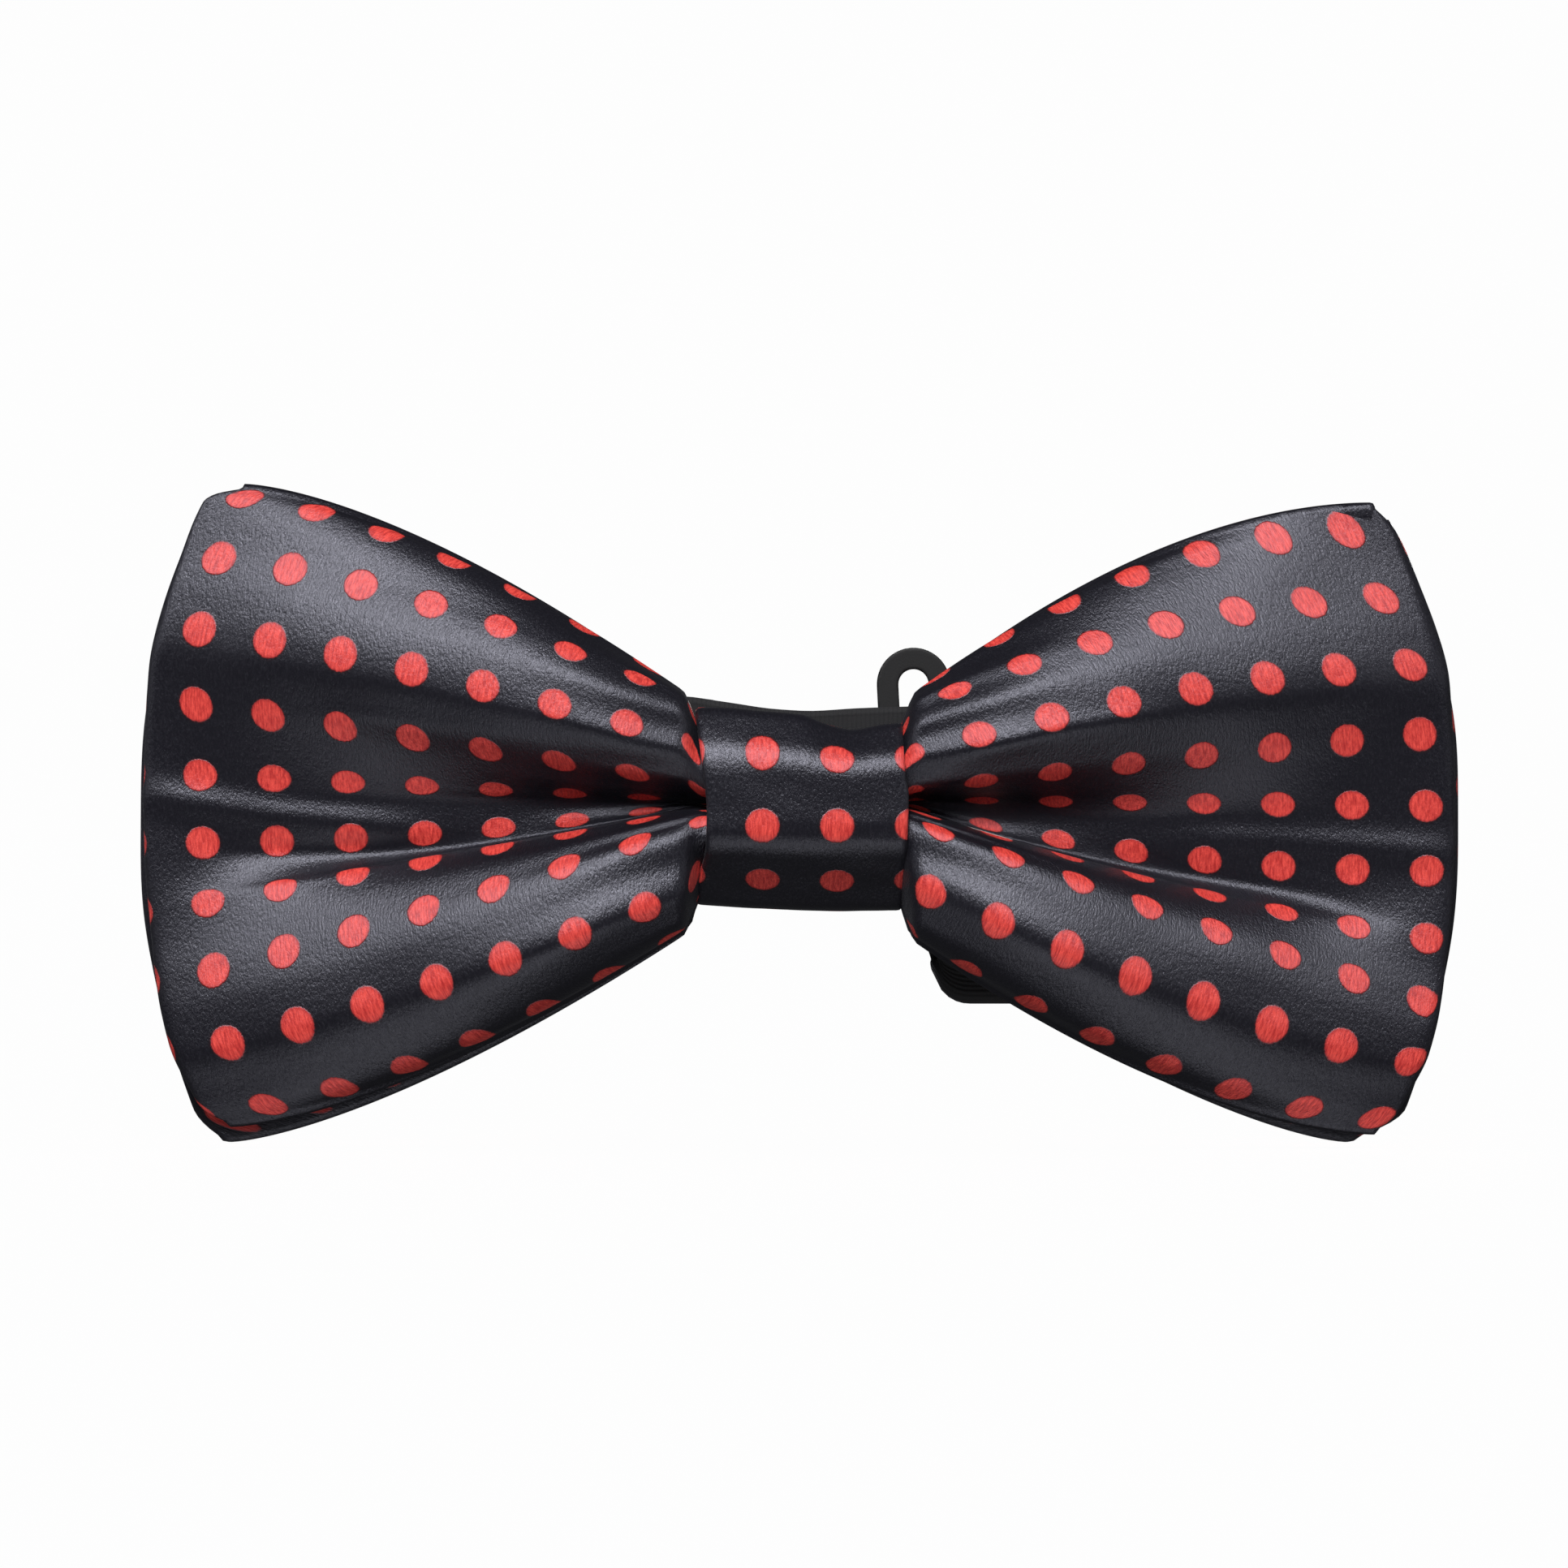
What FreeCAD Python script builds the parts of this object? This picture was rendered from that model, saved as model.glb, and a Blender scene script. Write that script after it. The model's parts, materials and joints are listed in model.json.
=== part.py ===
import FreeCAD, Part
import Sketcher
import math
import os

# A ready-tied bow tie, upright as it is worn: -Y is the front, +X is the wearer's left and the
# viewer's right, +Z is up. The origin is the middle of the knot's back, which rests on the collar.
# Its neck strap is unfastened and folded up behind the bow.

DIMENSIONS = {
    # the two bows, as five stations from the knot to the tip of a wing
    "reach_1": 9.5, "reach_2": 20.0, "reach_3": 44.0, "reach_4": 55.0, "reach_5": 60.0,
    "half_1": 6.6, "half_2": 17.6, "half_3": 27.8, "half_4": 29.8, "half_5": 19.0,
    "front_face_1": -12.9, "front_face_2": -16.0, "front_face_3": -11.5, "front_face_4": -9.0,
    "front_face_5": -8.0,
    "parting_1": -7.55, "parting_2": -6.9, "parting_3": -6.2, "parting_4": -5.9, "parting_5": -5.9,
    "rear_face_1": -2.8, "rear_face_2": -2.6, "rear_face_3": -2.5, "rear_face_4": -2.6,
    "rear_face_5": -3.0,
    "bow_gap": 0.1,
    "waist_bevel": 2.1, "wing_bevel": 0.8,
    "cloth": 0.5, "ease": 0.05,
    # the knot: a band of cloth wrapped round the gathered middle
    "knot_width": 18.5, "knot_half": 8.7, "knot_depth": 15.0,
    "knot_bevel": 3.2, "knot_back_bevel": 1.2, "bevel_shrink": 0.586,
    "wrap": 1.0, "wrap_lining": 0.6,
    "binding": 0.4, "binding_width": 5.0,
    "thread": 0.24, "stitch_length": 2.4, "stitch_pitch": 1.5, "tack_half": 0.5,
    # the neck strap: a flat ribbon, folded up in layers that lie behind each other
    "ribbon": 0.5, "ribbon_width": 10.0,
    "strap_low": -0.2, "knot_run_low": -3.5,
    "fold_left": -50.0, "fold_right": 44.0, "fold_mid": 11.0, "fold_short": -9.0,
    "layer_knot": -2.15, "layer_back": -0.7,
    "layer_1": 0.3, "layer_2": 1.1, "layer_3": 1.9, "layer_4": 3.6,
    # the right end of the strap turns down, folds up again and carries the eye
    "drop_left": 12.7, "drop_bottom": -17.6, "layer_drop": 0.1, "layer_rise": 2.0,
    "rise_top": 4.2, "tail": 7.0, "end_tail": 5.0,
    # closure hardware
    "bar_size": 1.2, "plate": 1.4, "loop_inner": 1.05, "slot": 2.2, "slot_width": 11.0,
    "frame_width": 14.0, "frame_height": 5.2,
    "eye_x": 11.0, "eye_lean": 3.0, "eye_bar_round": 2.0, "eye_width": 6.8, "eye_height": 11.15,
    "hook_x": -47.0, "tongue_width": 2.2, "tongue_length": 9.6, "tongue_turn": 1.4,
    "adjuster_x": -18.5, "adjuster_length": 11.0, "end_bar": 0.9, "middle_bar": 1.6,
    "rail": 1.5, "play": 0.15, "bar_ease": 0.125,
}

# How many stitches lie each side of the middle one in a row.
KNOT_STITCH_REACH = 4
TACK_REACH = 2

STATIONS = (1, 2, 3, 4, 5)

doc = FreeCAD.newDocument("bow_tie")
dims = doc.addObject("Spreadsheet::Sheet", "dims")
for row, (alias, value) in enumerate(DIMENSIONS.items(), start=1):
    dims.set(f"A{row}", alias)
    dims.set(f"B{row}", str(value))
    dims.setAlias(f"B{row}", alias)
doc.recompute()


def bind(thing, **expressions):
    """Bind properties to the sheet; a double underscore in a name stands for a dot."""
    for name, expression in expressions.items():
        thing.setExpression(name.replace("__", "."), spell(expression))
    return thing


def spell(expression):
    """Write each alias in an expression as a reference to the sheet."""
    words = str(expression).replace("(", " ( ").replace(")", " ) ").split()
    return " ".join(f"dims.{word}" if word in DIMENSIONS else word for word in words)


def box(name, x, y, z):
    """A box between pairs of expressions for its low and high faces."""
    solid = doc.addObject("Part::Box", name)
    return bind(
        solid,
        Placement__Base__x=x[0], Placement__Base__y=y[0], Placement__Base__z=z[0],
        Length=f"( {x[1]} ) - ( {x[0]} )",
        Width=f"( {y[1]} ) - ( {y[0]} )",
        Height=f"( {z[1]} ) - ( {z[0]} )",
    )


def cylinder(name, radius, height, centre, axis, turn=360, start=0):
    """A cylinder, or a wedge of one that starts at an angle about the axis."""
    solid = doc.addObject("Part::Cylinder", name)
    solid.Angle = turn
    upright = FreeCAD.Rotation(FreeCAD.Vector(0, 0, 1), FreeCAD.Vector(*axis))
    spin = FreeCAD.Rotation(FreeCAD.Vector(0, 0, 1), start)
    solid.Placement = FreeCAD.Placement(FreeCAD.Vector(0, 0, 0), upright.multiply(spin))
    return bind(
        solid, Radius=radius, Height=height,
        Placement__Base__x=centre[0], Placement__Base__y=centre[1], Placement__Base__z=centre[2],
    )


def fuse(name, solids):
    joined = doc.addObject("Part::MultiFuse", name)
    joined.Shapes = solids
    return joined


def cut(name, base, tool):
    result = doc.addObject("Part::Cut", name)
    result.Base = base
    result.Tool = tool
    return result


def group(name, solids):
    together = doc.addObject("Part::Compound", name)
    together.Links = solids
    return together


def origin_plane(body, role):
    return next(plane for plane in body.Origin.OriginFeatures if plane.Role == role)


def profile(body, name, role, loops, offset="0"):
    """A sketch of closed straight-sided loops whose corners are pairs of expressions."""
    sketch = body.newObject("Sketcher::SketchObject", name)
    sketch.AttachmentSupport = (origin_plane(body, role), [""])
    sketch.MapMode = "FlatFace"
    bind(sketch, AttachmentOffset__Base__z=offset)
    for corners in loops:
        draw_loop(sketch, corners)
    return sketch


def draw_loop(sketch, corners):
    """One closed loop, drawn round a unit circle and then held at its corners' expressions."""
    first, count = sketch.GeometryCount, len(corners)
    guides = [
        FreeCAD.Vector(math.cos(math.tau * index / count), math.sin(math.tau * index / count), 0)
        for index in range(count)
    ]
    for index in range(count):
        sketch.addGeometry(Part.LineSegment(guides[index], guides[(index + 1) % count]), False)
    for index in range(count):
        following = first + (index + 1) % count
        sketch.addConstraint(Sketcher.Constraint("Coincident", first + index, 2, following, 1))
    for index, corner in enumerate(corners):
        guide = guides[index]
        for kind, expression, start in (("DistanceX", corner[0], guide.x), ("DistanceY", corner[1], guide.y)):
            place = sketch.addConstraint(Sketcher.Constraint(kind, first + index, 1, start))
            sketch.setExpression(f"Constraints[{place}]", spell(expression))


def slab(name, corners, near, thickness):
    """A prism whose outline lies in the XZ plane, from depth near, going back by a thickness."""
    body = doc.addObject("PartDesign::Body", name)
    sketch = profile(body, f"{name}_outline", "XZ_Plane", [corners], offset=f"0 - ( {near} )")
    pad = body.newObject("PartDesign::Pad", f"{name}_pad")
    pad.Profile = sketch
    pad.Reversed = True
    bind(pad, Length=thickness)
    return body


def band(name, width, outside, inside):
    """A band round the X axis, between two outlines in the YZ plane."""
    body = doc.addObject("PartDesign::Body", name)
    sketch = profile(body, f"{name}_outline", "YZ_Plane", [outside, inside])
    pad = body.newObject("PartDesign::Pad", f"{name}_pad")
    pad.Profile = sketch
    pad.SideType = "Symmetric"
    bind(pad, Length=width)
    return body


def half_section(face, inward, parting, top, bevel, inset):
    """A bow's section at one station: bevelled at its outer face, square at the parting."""
    outer = f"{face} {inward} {inset}"
    shoulder = f"{face} {inward} {inset} {inward} {bevel}"
    seam = f"{parting} {'-' if inward == '+' else '+'} {inset}"
    height = f"( {top} - {inset} )"
    return [
        (outer, f"{bevel} - {height}"),
        (shoulder, f"0 - {height}"),
        (seam, f"0 - {height}"),
        (seam, height),
        (shoulder, height),
        (outer, f"{height} - {bevel}"),
    ]


def bow_solid(name, face, inward, inset):
    """A bow from tip to tip, lofted through its stations, drawn in by an inset all round."""
    body = doc.addObject("PartDesign::Body", name)
    gap = "bow_gap / 2"
    sections = []
    for side, stations in ((-1, STATIONS[::-1]), (1, STATIONS)):
        for station in stations:
            parting = f"parting_{station} {'-' if inward == '+' else '+'} {gap}"
            bevel = "waist_bevel" if station == STATIONS[0] else "wing_bevel"
            corners = half_section(
                f"{face}_{station}", inward, parting, f"half_{station}", bevel, f"( {inset} )"
            )
            end = f"( {inset} )" if station == STATIONS[-1] else "0"
            sketch_name = f"{name}_{'left' if side < 0 else 'right'}_{station}"
            offset = f"{side} * ( reach_{station} - {end} )"
            sections.append(profile(body, sketch_name, "YZ_Plane", [corners], offset))
    loft = body.newObject("PartDesign::AdditiveLoft", f"{name}_loft")
    loft.Profile = sections[0]
    loft.Sections = sections[1:]
    loft.Ruled = True
    return body


def bow(name, face, inward):
    """A bow's cloth, closed round its interlining."""
    outside = bow_solid(f"{name}_outside", face, inward, "0")
    hollow = bow_solid(f"{name}_hollow", face, inward, "cloth")
    cut(name, outside, hollow)
    bow_solid(f"{name}_interlining", face, inward, "cloth + ease")


def knot_outline(inset):
    """The knot's outline in the YZ plane, drawn in by an inset, with its corners cut off."""
    bevel = f"( knot_bevel - ( {inset} ) * bevel_shrink )"
    back_bevel = f"( knot_back_bevel - ( {inset} ) * bevel_shrink )"
    front = f"( {inset} - knot_depth )"
    back = f"( 0 - ( {inset} ) )"
    top = f"( knot_half - ( {inset} ) )"
    return [
        (front, f"{bevel} - {top}"),
        (f"{front} + {bevel}", f"0 - {top}"),
        (f"{back} - {back_bevel}", f"0 - {top}"),
        (back, f"{back_bevel} - {top}"),
        (back, f"{top} - {back_bevel}"),
        (f"{back} - {back_bevel}", top),
        (f"{front} + {bevel}", top),
        (front, f"{top} - {bevel}"),
    ]


def binding_outline(outset):
    """The outline of both bows' gathered middles, drawn out by the thickness of the thread."""
    bevel = f"( waist_bevel + ( {outset} ) * bevel_shrink )"
    front = f"( front_face_1 - ( {outset} ) )"
    back = f"( rear_face_1 + {outset} )"
    top = f"( half_1 + {outset} )"
    return [
        (front, f"{bevel} - {top}"),
        (f"{front} + {bevel}", f"0 - {top}"),
        (f"{back} - {bevel}", f"0 - {top}"),
        (back, f"{bevel} - {top}"),
        (back, f"{top} - {bevel}"),
        (f"{back} - {bevel}", top),
        (f"{front} + {bevel}", top),
        (front, f"{top} - {bevel}"),
    ]


def ribbon_run(name, left, right, layer, low="strap_low"):
    return box(
        name, (left, right), (layer, f"{layer} + ribbon"), (low, f"{low} + ribbon_width")
    )


def ribbon_fold(name, x, near, far, side, low="strap_low", high="strap_low + ribbon_width"):
    """Half a tube that joins the layers near and far at one end of the hank."""
    radius = f"( {far} + ribbon - ( {near} ) ) / 2"
    centre = (x, f"( {near} + {far} + ribbon ) / 2", low)
    height = f"( {high} ) - ( {low} )"
    start = 90 if side < 0 else -90
    outer = cylinder(f"{name}_outer", radius, height, centre, (0, 0, 1), 180, start)
    inner = cylinder(f"{name}_inner", f"{radius} - ribbon", height, centre, (0, 0, 1), 180, start)
    return cut(name, outer, inner)


def neck_strap():
    """The ribbon from the eye, through the knot and the folded layers, to the hook."""
    top = "strap_low + ribbon_width"
    turn_left, turn_right = "drop_left", "drop_left + ribbon_width"
    drop_round = "( layer_rise + ribbon - layer_drop ) / 2"
    fold_height = f"drop_bottom + {drop_round}"
    knot_run_top = "knot_run_low + ribbon_width"
    solids = [
        ribbon_run("run_knot", "fold_left", "fold_right", "layer_knot", "knot_run_low"),
        ribbon_fold("fold_a", "fold_left", "layer_knot", "layer_1", -1, high=knot_run_top),
        ribbon_run("run_1", "fold_left", "fold_mid", "layer_1"),
        ribbon_fold("fold_b", "fold_mid", "layer_1", "layer_2", 1),
        ribbon_run("run_2", "fold_left", "fold_mid", "layer_2"),
        ribbon_fold("fold_c", "fold_left", "layer_2", "layer_3", -1),
        ribbon_run("run_3", "fold_left", "fold_short", "layer_3"),
        ribbon_fold("fold_d", "fold_short", "layer_3", "layer_4", 1),
        ribbon_run("run_4", "hook_x", "fold_short", "layer_4"),
        ribbon_fold("fold_hook", "hook_x", "layer_4", "layer_4 + 2 * loop_inner + ribbon", -1),
        ribbon_fold("fold_e", "fold_right", "layer_knot", "layer_back", 1, high=knot_run_top),
        slab(
            "run_back",
            [(turn_left, "strap_low"), ("fold_right", "strap_low"), ("fold_right", top),
             (turn_right, top)],
            "layer_back", "ribbon",
        ),
        slab(
            "corner_fold",
            [(turn_left, "strap_low"), (f"{turn_left} + ribbon", "strap_low"),
             (turn_right, f"{top} - ribbon"), (turn_right, top)],
            "layer_back", "layer_drop + ribbon - layer_back",
        ),
        slab(
            "drop",
            [(turn_left, fold_height), (turn_right, fold_height), (turn_right, top),
             (turn_left, "strap_low")],
            "layer_drop", "ribbon",
        ),
        slab(
            "rise",
            [(turn_left, fold_height), (turn_right, fold_height),
             ("eye_x + ribbon_width / 2", "rise_top"), ("eye_x - ribbon_width / 2", "rise_top")],
            "layer_rise", "ribbon",
        ),
    ]
    fold_centre = (turn_left, f"layer_drop + {drop_round}", fold_height)
    outer = cylinder("low_fold_outer", drop_round, "ribbon_width", fold_centre, (1, 0, 0), 180, -90)
    inner = cylinder(
        "low_fold_inner", f"{drop_round} - ribbon", "ribbon_width", fold_centre, (1, 0, 0), 180, -90
    )
    solids.append(cut("low_fold", outer, inner))
    solids.append(eye_sleeve())
    return fuse("neck_strap", solids)


def eye_sleeve():
    """The ribbon's end, turned round the eye's bar and laid back on itself."""
    reach = "loop_inner + ribbon"
    low, high = "0 - ribbon_width / 2", "ribbon_width / 2"
    outer = cylinder("sleeve_outer", reach, "ribbon_width", (low, "0", "0"), (1, 0, 0))
    inner = cylinder("sleeve_inner", "loop_inner", "ribbon_width", (low, "0", "0"), (1, 0, 0))
    tail = box(
        "sleeve_tail", (low, high), (f"ribbon - ( {reach} )", f"2 * ribbon - ( {reach} )"),
        ("0 - tail", "0 - loop_inner"),
    )
    sleeve = cut("sleeve", fuse("sleeve_solid", [outer, tail]), inner)
    return lean(sleeve)


def lean(solid):
    """Set a piece that is drawn about the eye's bar at its place and at its slight lean."""
    solid.Placement.Rotation = FreeCAD.Rotation(FreeCAD.Vector(0, 1, 0), -dims.eye_lean)
    return bind(
        solid, Placement__Base__x="eye_x", Placement__Base__z="rise_top",
        Placement__Base__y="layer_rise + loop_inner + ribbon",
    )


def hardware_frame(name, across, along):
    """The frame that a strap end hangs on, with its bar at the origin and the strap's slot."""
    half_bar = "bar_size / 2"
    sizes = {
        across: ("0 - frame_width / 2", "frame_width / 2"),
        along: (f"0 - {half_bar}", f"frame_height - {half_bar}"),
        "y": ("0 - plate / 2", "plate / 2"),
    }
    frame = box(f"{name}_frame", sizes["x"], sizes["y"], sizes["z"])
    sizes[across] = ("0 - slot_width / 2", "slot_width / 2")
    sizes[along] = (half_bar, f"{half_bar} + slot")
    window = box(f"{name}_slot", sizes["x"], sizes["y"], sizes["z"])
    return frame, window


def eye_loop():
    """A flat frame with a round-topped loop standing on it."""
    frame, slot = hardware_frame("eye", "x", "z")
    half = "eye_width / 2"
    hole = "eye_width / 2 - eye_bar_round"
    centre = ("0", "plate / 2", f"eye_height - {half}")
    legs = box(
        "eye_legs", (f"0 - {half}", half), ("0 - plate / 2", "plate / 2"),
        ("frame_height - bar_size", centre[2]),
    )
    arch = cylinder("eye_arch", half, "plate", centre, (0, -1, 0))
    gap = box(
        "eye_gap", (f"0 - ( {hole} )", hole), ("0 - plate / 2", "plate / 2"),
        ("frame_height - bar_size / 2", centre[2]),
    )
    crown = cylinder("eye_crown", hole, "plate", centre, (0, -1, 0))
    solid = fuse("eye_solid", [frame, legs, arch])
    return lean(cut("eye_loop", solid, fuse("eye_holes", [slot, gap, crown])))


def hook():
    """A flat frame whose narrow tongue turns back on itself."""
    frame, slot = hardware_frame("hook", "z", "x")
    half = "tongue_width / 2"
    depth = "plate / 2"
    turn = "tongue_turn / 2 + plate"
    end = f"tongue_length - ( {turn} )"
    across = ("0 - " + half, half)
    tongue = box("hook_tongue", ("frame_height - bar_size", end), ("0 - " + depth, depth), across)
    centre = (end, "plate / 2 + tongue_turn / 2", across[0])
    upright = (0, 0, 1)
    outer = cylinder("hook_turn_outer", turn, "tongue_width", centre, upright, 180, -90)
    inner = cylinder("hook_turn_inner", "tongue_turn / 2", "tongue_width", centre, upright, 180, -90)
    tip = box(
        "hook_tip", ("frame_height", end),
        (f"{depth} + tongue_turn", f"{depth} + tongue_turn + plate"), across,
    )
    bend = cut("hook_turn", outer, inner)
    solid = fuse("hook_solid", [cut("hook_frame_open", frame, slot), tongue, bend, tip])
    mirrored = doc.addObject("Part::Mirroring", "hook")
    mirrored.Source = solid
    mirrored.Normal = FreeCAD.Vector(1, 0, 0)
    return bind(
        mirrored, Placement__Base__x="hook_x", Placement__Base__y="layer_4 + loop_inner + ribbon",
        Placement__Base__z="strap_low + ribbon_width / 2",
    )


def slide_adjuster():
    """Two rails, two end bars in front of the strap and a middle bar behind it."""
    half_length, half_bar = "adjuster_length / 2", "middle_bar / 2"
    inside = "slot_width / 2"
    near = "layer_4 - play - end_bar"
    middle = "layer_4 + 2 * ribbon + play + bar_ease"
    far = f"{middle} + bar_size"
    outside = "slot_width / 2 + rail"
    length = (f"0 - {half_length}", half_length)
    between = (f"0 - {inside}", inside)
    front = (near, f"{near} + end_bar")
    solids = [
        box("rail_low", length, (near, far), (f"0 - ( {outside} )", f"0 - {inside}")),
        box("rail_high", length, (near, far), (inside, outside)),
        box("bar_left", (length[0], f"rail - {half_length}"), front, between),
        box("bar_right", (f"{half_length} - rail", half_length), front, between),
        box("bar_middle", (f"0 - {half_bar}", half_bar), (middle, far), between),
    ]
    return bind(
        fuse("slide_adjuster", solids), Placement__Base__x="adjuster_x",
        Placement__Base__z="strap_low + ribbon_width / 2",
    )


def adjuster_end_loop():
    """The ribbon's other end, turned round the adjuster's middle bar and laid back on itself."""
    low, high = "strap_low", "strap_low + ribbon_width"
    front, back = "layer_4 + ribbon + play", "layer_4 + 2 * loop_inner + 2 * ribbon"
    reach = "middle_bar / 2 + play + ribbon"
    inner = "middle_bar / 2 + play"
    outside = box(
        "end_loop_outside", (f"adjuster_x - ( {reach} )", f"adjuster_x + {reach}"),
        (front, back), (low, high),
    )
    inside = box(
        "end_loop_inside", (f"adjuster_x - ( {inner} )", f"adjuster_x + {inner}"),
        (f"{front} + ribbon", f"{back} - ribbon"), (low, high),
    )
    tail_back = f"{back} - ribbon - ease"
    tail = box(
        "end_loop_tail", (f"adjuster_x - ( {reach} ) - end_tail", f"adjuster_x - ( {reach} )"),
        (f"{tail_back} - ribbon", tail_back), (low, high),
    )
    return fuse("adjuster_end_loop", [cut("end_loop_ring", outside, inside), tail])


def strap_return():
    """The strap's stretch from the hook back to the adjuster."""
    back = "layer_4 + 2 * loop_inner + 2 * ribbon"
    return box(
        "strap_return", ("hook_x", "adjuster_x - middle_bar / 2 - play - ribbon - ease"),
        (f"{back} - ribbon", back), ("strap_low", "strap_low + ribbon_width"),
    )


def knot_stitches():
    """A row of short hand stitches up the middle of the knot's back."""
    stitches = []
    for index in range(-KNOT_STITCH_REACH, KNOT_STITCH_REACH + 1):
        centre = f"{index} * stitch_pitch"
        stitches.append(box(
            f"knot_stitch_{index + KNOT_STITCH_REACH + 1}", ("0 - stitch_length / 2", "stitch_length / 2"), ("0", "thread"),
            (f"{centre} - thread / 2", f"{centre} + thread / 2"),
        ))
    return group("knot_stitches", stitches)


def eye_tack_stitches():
    """Two rows of stitches that hold the ribbon's end to the strap below the eye."""
    stitches = []
    face = "2 * ribbon - ( loop_inner + ribbon )"
    for row, drop in enumerate(("tail / 2", "tail - stitch_pitch / 2"), start=1):
        for index in range(-TACK_REACH, TACK_REACH + 1):
            centre = f"{index} * stitch_pitch"
            stitches.append(box(
                f"eye_stitch_{row}_{index + TACK_REACH + 1}",
                (f"{centre} - tack_half", f"{centre} + tack_half"),
                (face, f"{face} + thread"), (f"thread - ( {drop} )", f"2 * thread - ( {drop} )"),
            ))
    return lean(group("eye_tack_stitches", stitches))


def adjuster_tack_stitches():
    """A row of stitches through the tail of the adjuster's loop."""
    stitches = []
    tail_front = "layer_4 + 2 * loop_inner + ribbon - ease - ribbon"
    across = "adjuster_x - middle_bar / 2 - play - ribbon - end_tail / 2"
    for index in range(-TACK_REACH, TACK_REACH + 1):
        centre = f"strap_low + ribbon_width / 2 + {index} * stitch_pitch"
        stitches.append(box(
            f"adjuster_stitch_{index + TACK_REACH + 1}", (across, f"{across} + thread"),
            (f"{tail_front} - thread", tail_front),
            (f"{centre} - tack_half", f"{centre} + tack_half"),
        ))
    return group("adjuster_tack_stitches", stitches)


bow("front_bow", "front_face", "+")
bow("rear_bow", "rear_face", "-")
band("centre_binding", "binding_width", binding_outline("binding"), binding_outline("0"))
band("knot_wrap", "knot_width", knot_outline("0"), knot_outline("wrap"))
band("knot_interlining", "knot_width", knot_outline("wrap"), knot_outline("wrap + wrap_lining"))
knot_stitches()
neck_strap()
strap_return()
eye_tack_stitches()
eye_loop()
hook()
slide_adjuster()
adjuster_end_loop()
adjuster_tack_stitches()

doc.recompute()

NODES = (
    "front_bow", "front_bow_interlining", "rear_bow", "rear_bow_interlining", "centre_binding",
    "knot_wrap", "knot_interlining", "knot_stitches", "neck_strap", "strap_return",
    "eye_tack_stitches", "eye_loop", "hook", "slide_adjuster", "adjuster_end_loop",
    "adjuster_tack_stitches",
)

for thing in doc.Objects:
    if {"Invalid", "Error"} & set(thing.State):
        raise RuntimeError(f"{thing.Name} did not build: {thing.State}")

os.makedirs("parts", exist_ok=True)
for name in NODES:
    piece = doc.getObject(name)
    piece.Label = name
    if piece.Shape.isNull() or not piece.Shape.isValid():
        raise RuntimeError(f"{name} has no valid shape")
    piece.Shape.exportStep(f"parts/{name}.step")
    bounds = piece.Shape.BoundBox
    low = [round(bounds.XMin, 2), round(bounds.YMin, 2), round(bounds.ZMin, 2)]
    high = [round(bounds.XMax, 2), round(bounds.YMax, 2), round(bounds.ZMax, 2)]
    print(name, len(piece.Shape.Solids), round(piece.Shape.Volume, 1), low, high)
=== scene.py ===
import json
import math
from contextlib import contextmanager

import bmesh
import bpy
import numpy as np
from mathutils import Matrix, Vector


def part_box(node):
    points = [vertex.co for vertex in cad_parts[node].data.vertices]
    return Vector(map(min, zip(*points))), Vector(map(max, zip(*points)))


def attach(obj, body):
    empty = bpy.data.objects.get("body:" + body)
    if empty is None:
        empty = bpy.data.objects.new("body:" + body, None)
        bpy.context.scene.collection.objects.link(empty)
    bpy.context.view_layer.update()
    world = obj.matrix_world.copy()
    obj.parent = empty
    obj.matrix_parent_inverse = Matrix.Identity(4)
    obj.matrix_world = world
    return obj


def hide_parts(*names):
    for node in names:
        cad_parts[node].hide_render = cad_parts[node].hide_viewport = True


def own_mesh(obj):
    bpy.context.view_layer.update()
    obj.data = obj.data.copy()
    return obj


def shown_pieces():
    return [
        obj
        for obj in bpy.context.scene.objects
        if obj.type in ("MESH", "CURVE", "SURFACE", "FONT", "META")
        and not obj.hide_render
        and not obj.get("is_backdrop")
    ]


# A ready-tied bow tie, seen from the front, upright as it is worn.
# Lengths are in millimetres in this script and are turned into metres where a mesh is made.

MM = 0.001
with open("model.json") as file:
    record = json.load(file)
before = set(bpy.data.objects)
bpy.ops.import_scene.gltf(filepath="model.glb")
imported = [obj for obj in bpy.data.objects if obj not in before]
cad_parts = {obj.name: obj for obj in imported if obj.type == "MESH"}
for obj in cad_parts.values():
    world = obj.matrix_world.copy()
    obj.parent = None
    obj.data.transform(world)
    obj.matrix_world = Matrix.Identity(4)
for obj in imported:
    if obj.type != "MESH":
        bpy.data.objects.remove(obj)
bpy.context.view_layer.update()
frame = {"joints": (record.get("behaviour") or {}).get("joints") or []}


def cad_box(node):
    """A CAD node's lowest and highest corners, in millimetres."""
    low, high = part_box(node)
    return np.array(low) / MM, np.array(high) / MM


BOW_LOW, BOW_HIGH = cad_box("front_bow")
KNOT_LOW, KNOT_HIGH = cad_box("knot_wrap")
STRAP_LOW = cad_box("neck_strap")[0]
RETURN_LOW, RETURN_HIGH = cad_box("strap_return")
LOOP_LOW, LOOP_HIGH = cad_box("adjuster_end_loop")
TAIL_FACE = cad_box("adjuster_tack_stitches")[1][1]
JOINTS = {joint["name"]: joint for joint in frame["joints"]}
EYE_PIVOT = np.array(JOINTS["eye_swing"]["pos_m"]) / MM
HOOK_PIVOT = np.array(JOINTS["hook_swing"]["pos_m"]) / MM

# how far the bow and the knot reach out from the middle
REACH = BOW_HIGH[0]
KNOT_END = KNOT_HIGH[0]
# the cloth: its dots' pitch across the strip and along it, their radius, and its thickness
PITCH = 6.5
PITCH_ALONG = 6.76
DOT_RADIUS = 1.54
CLOTH = 0.35
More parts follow.
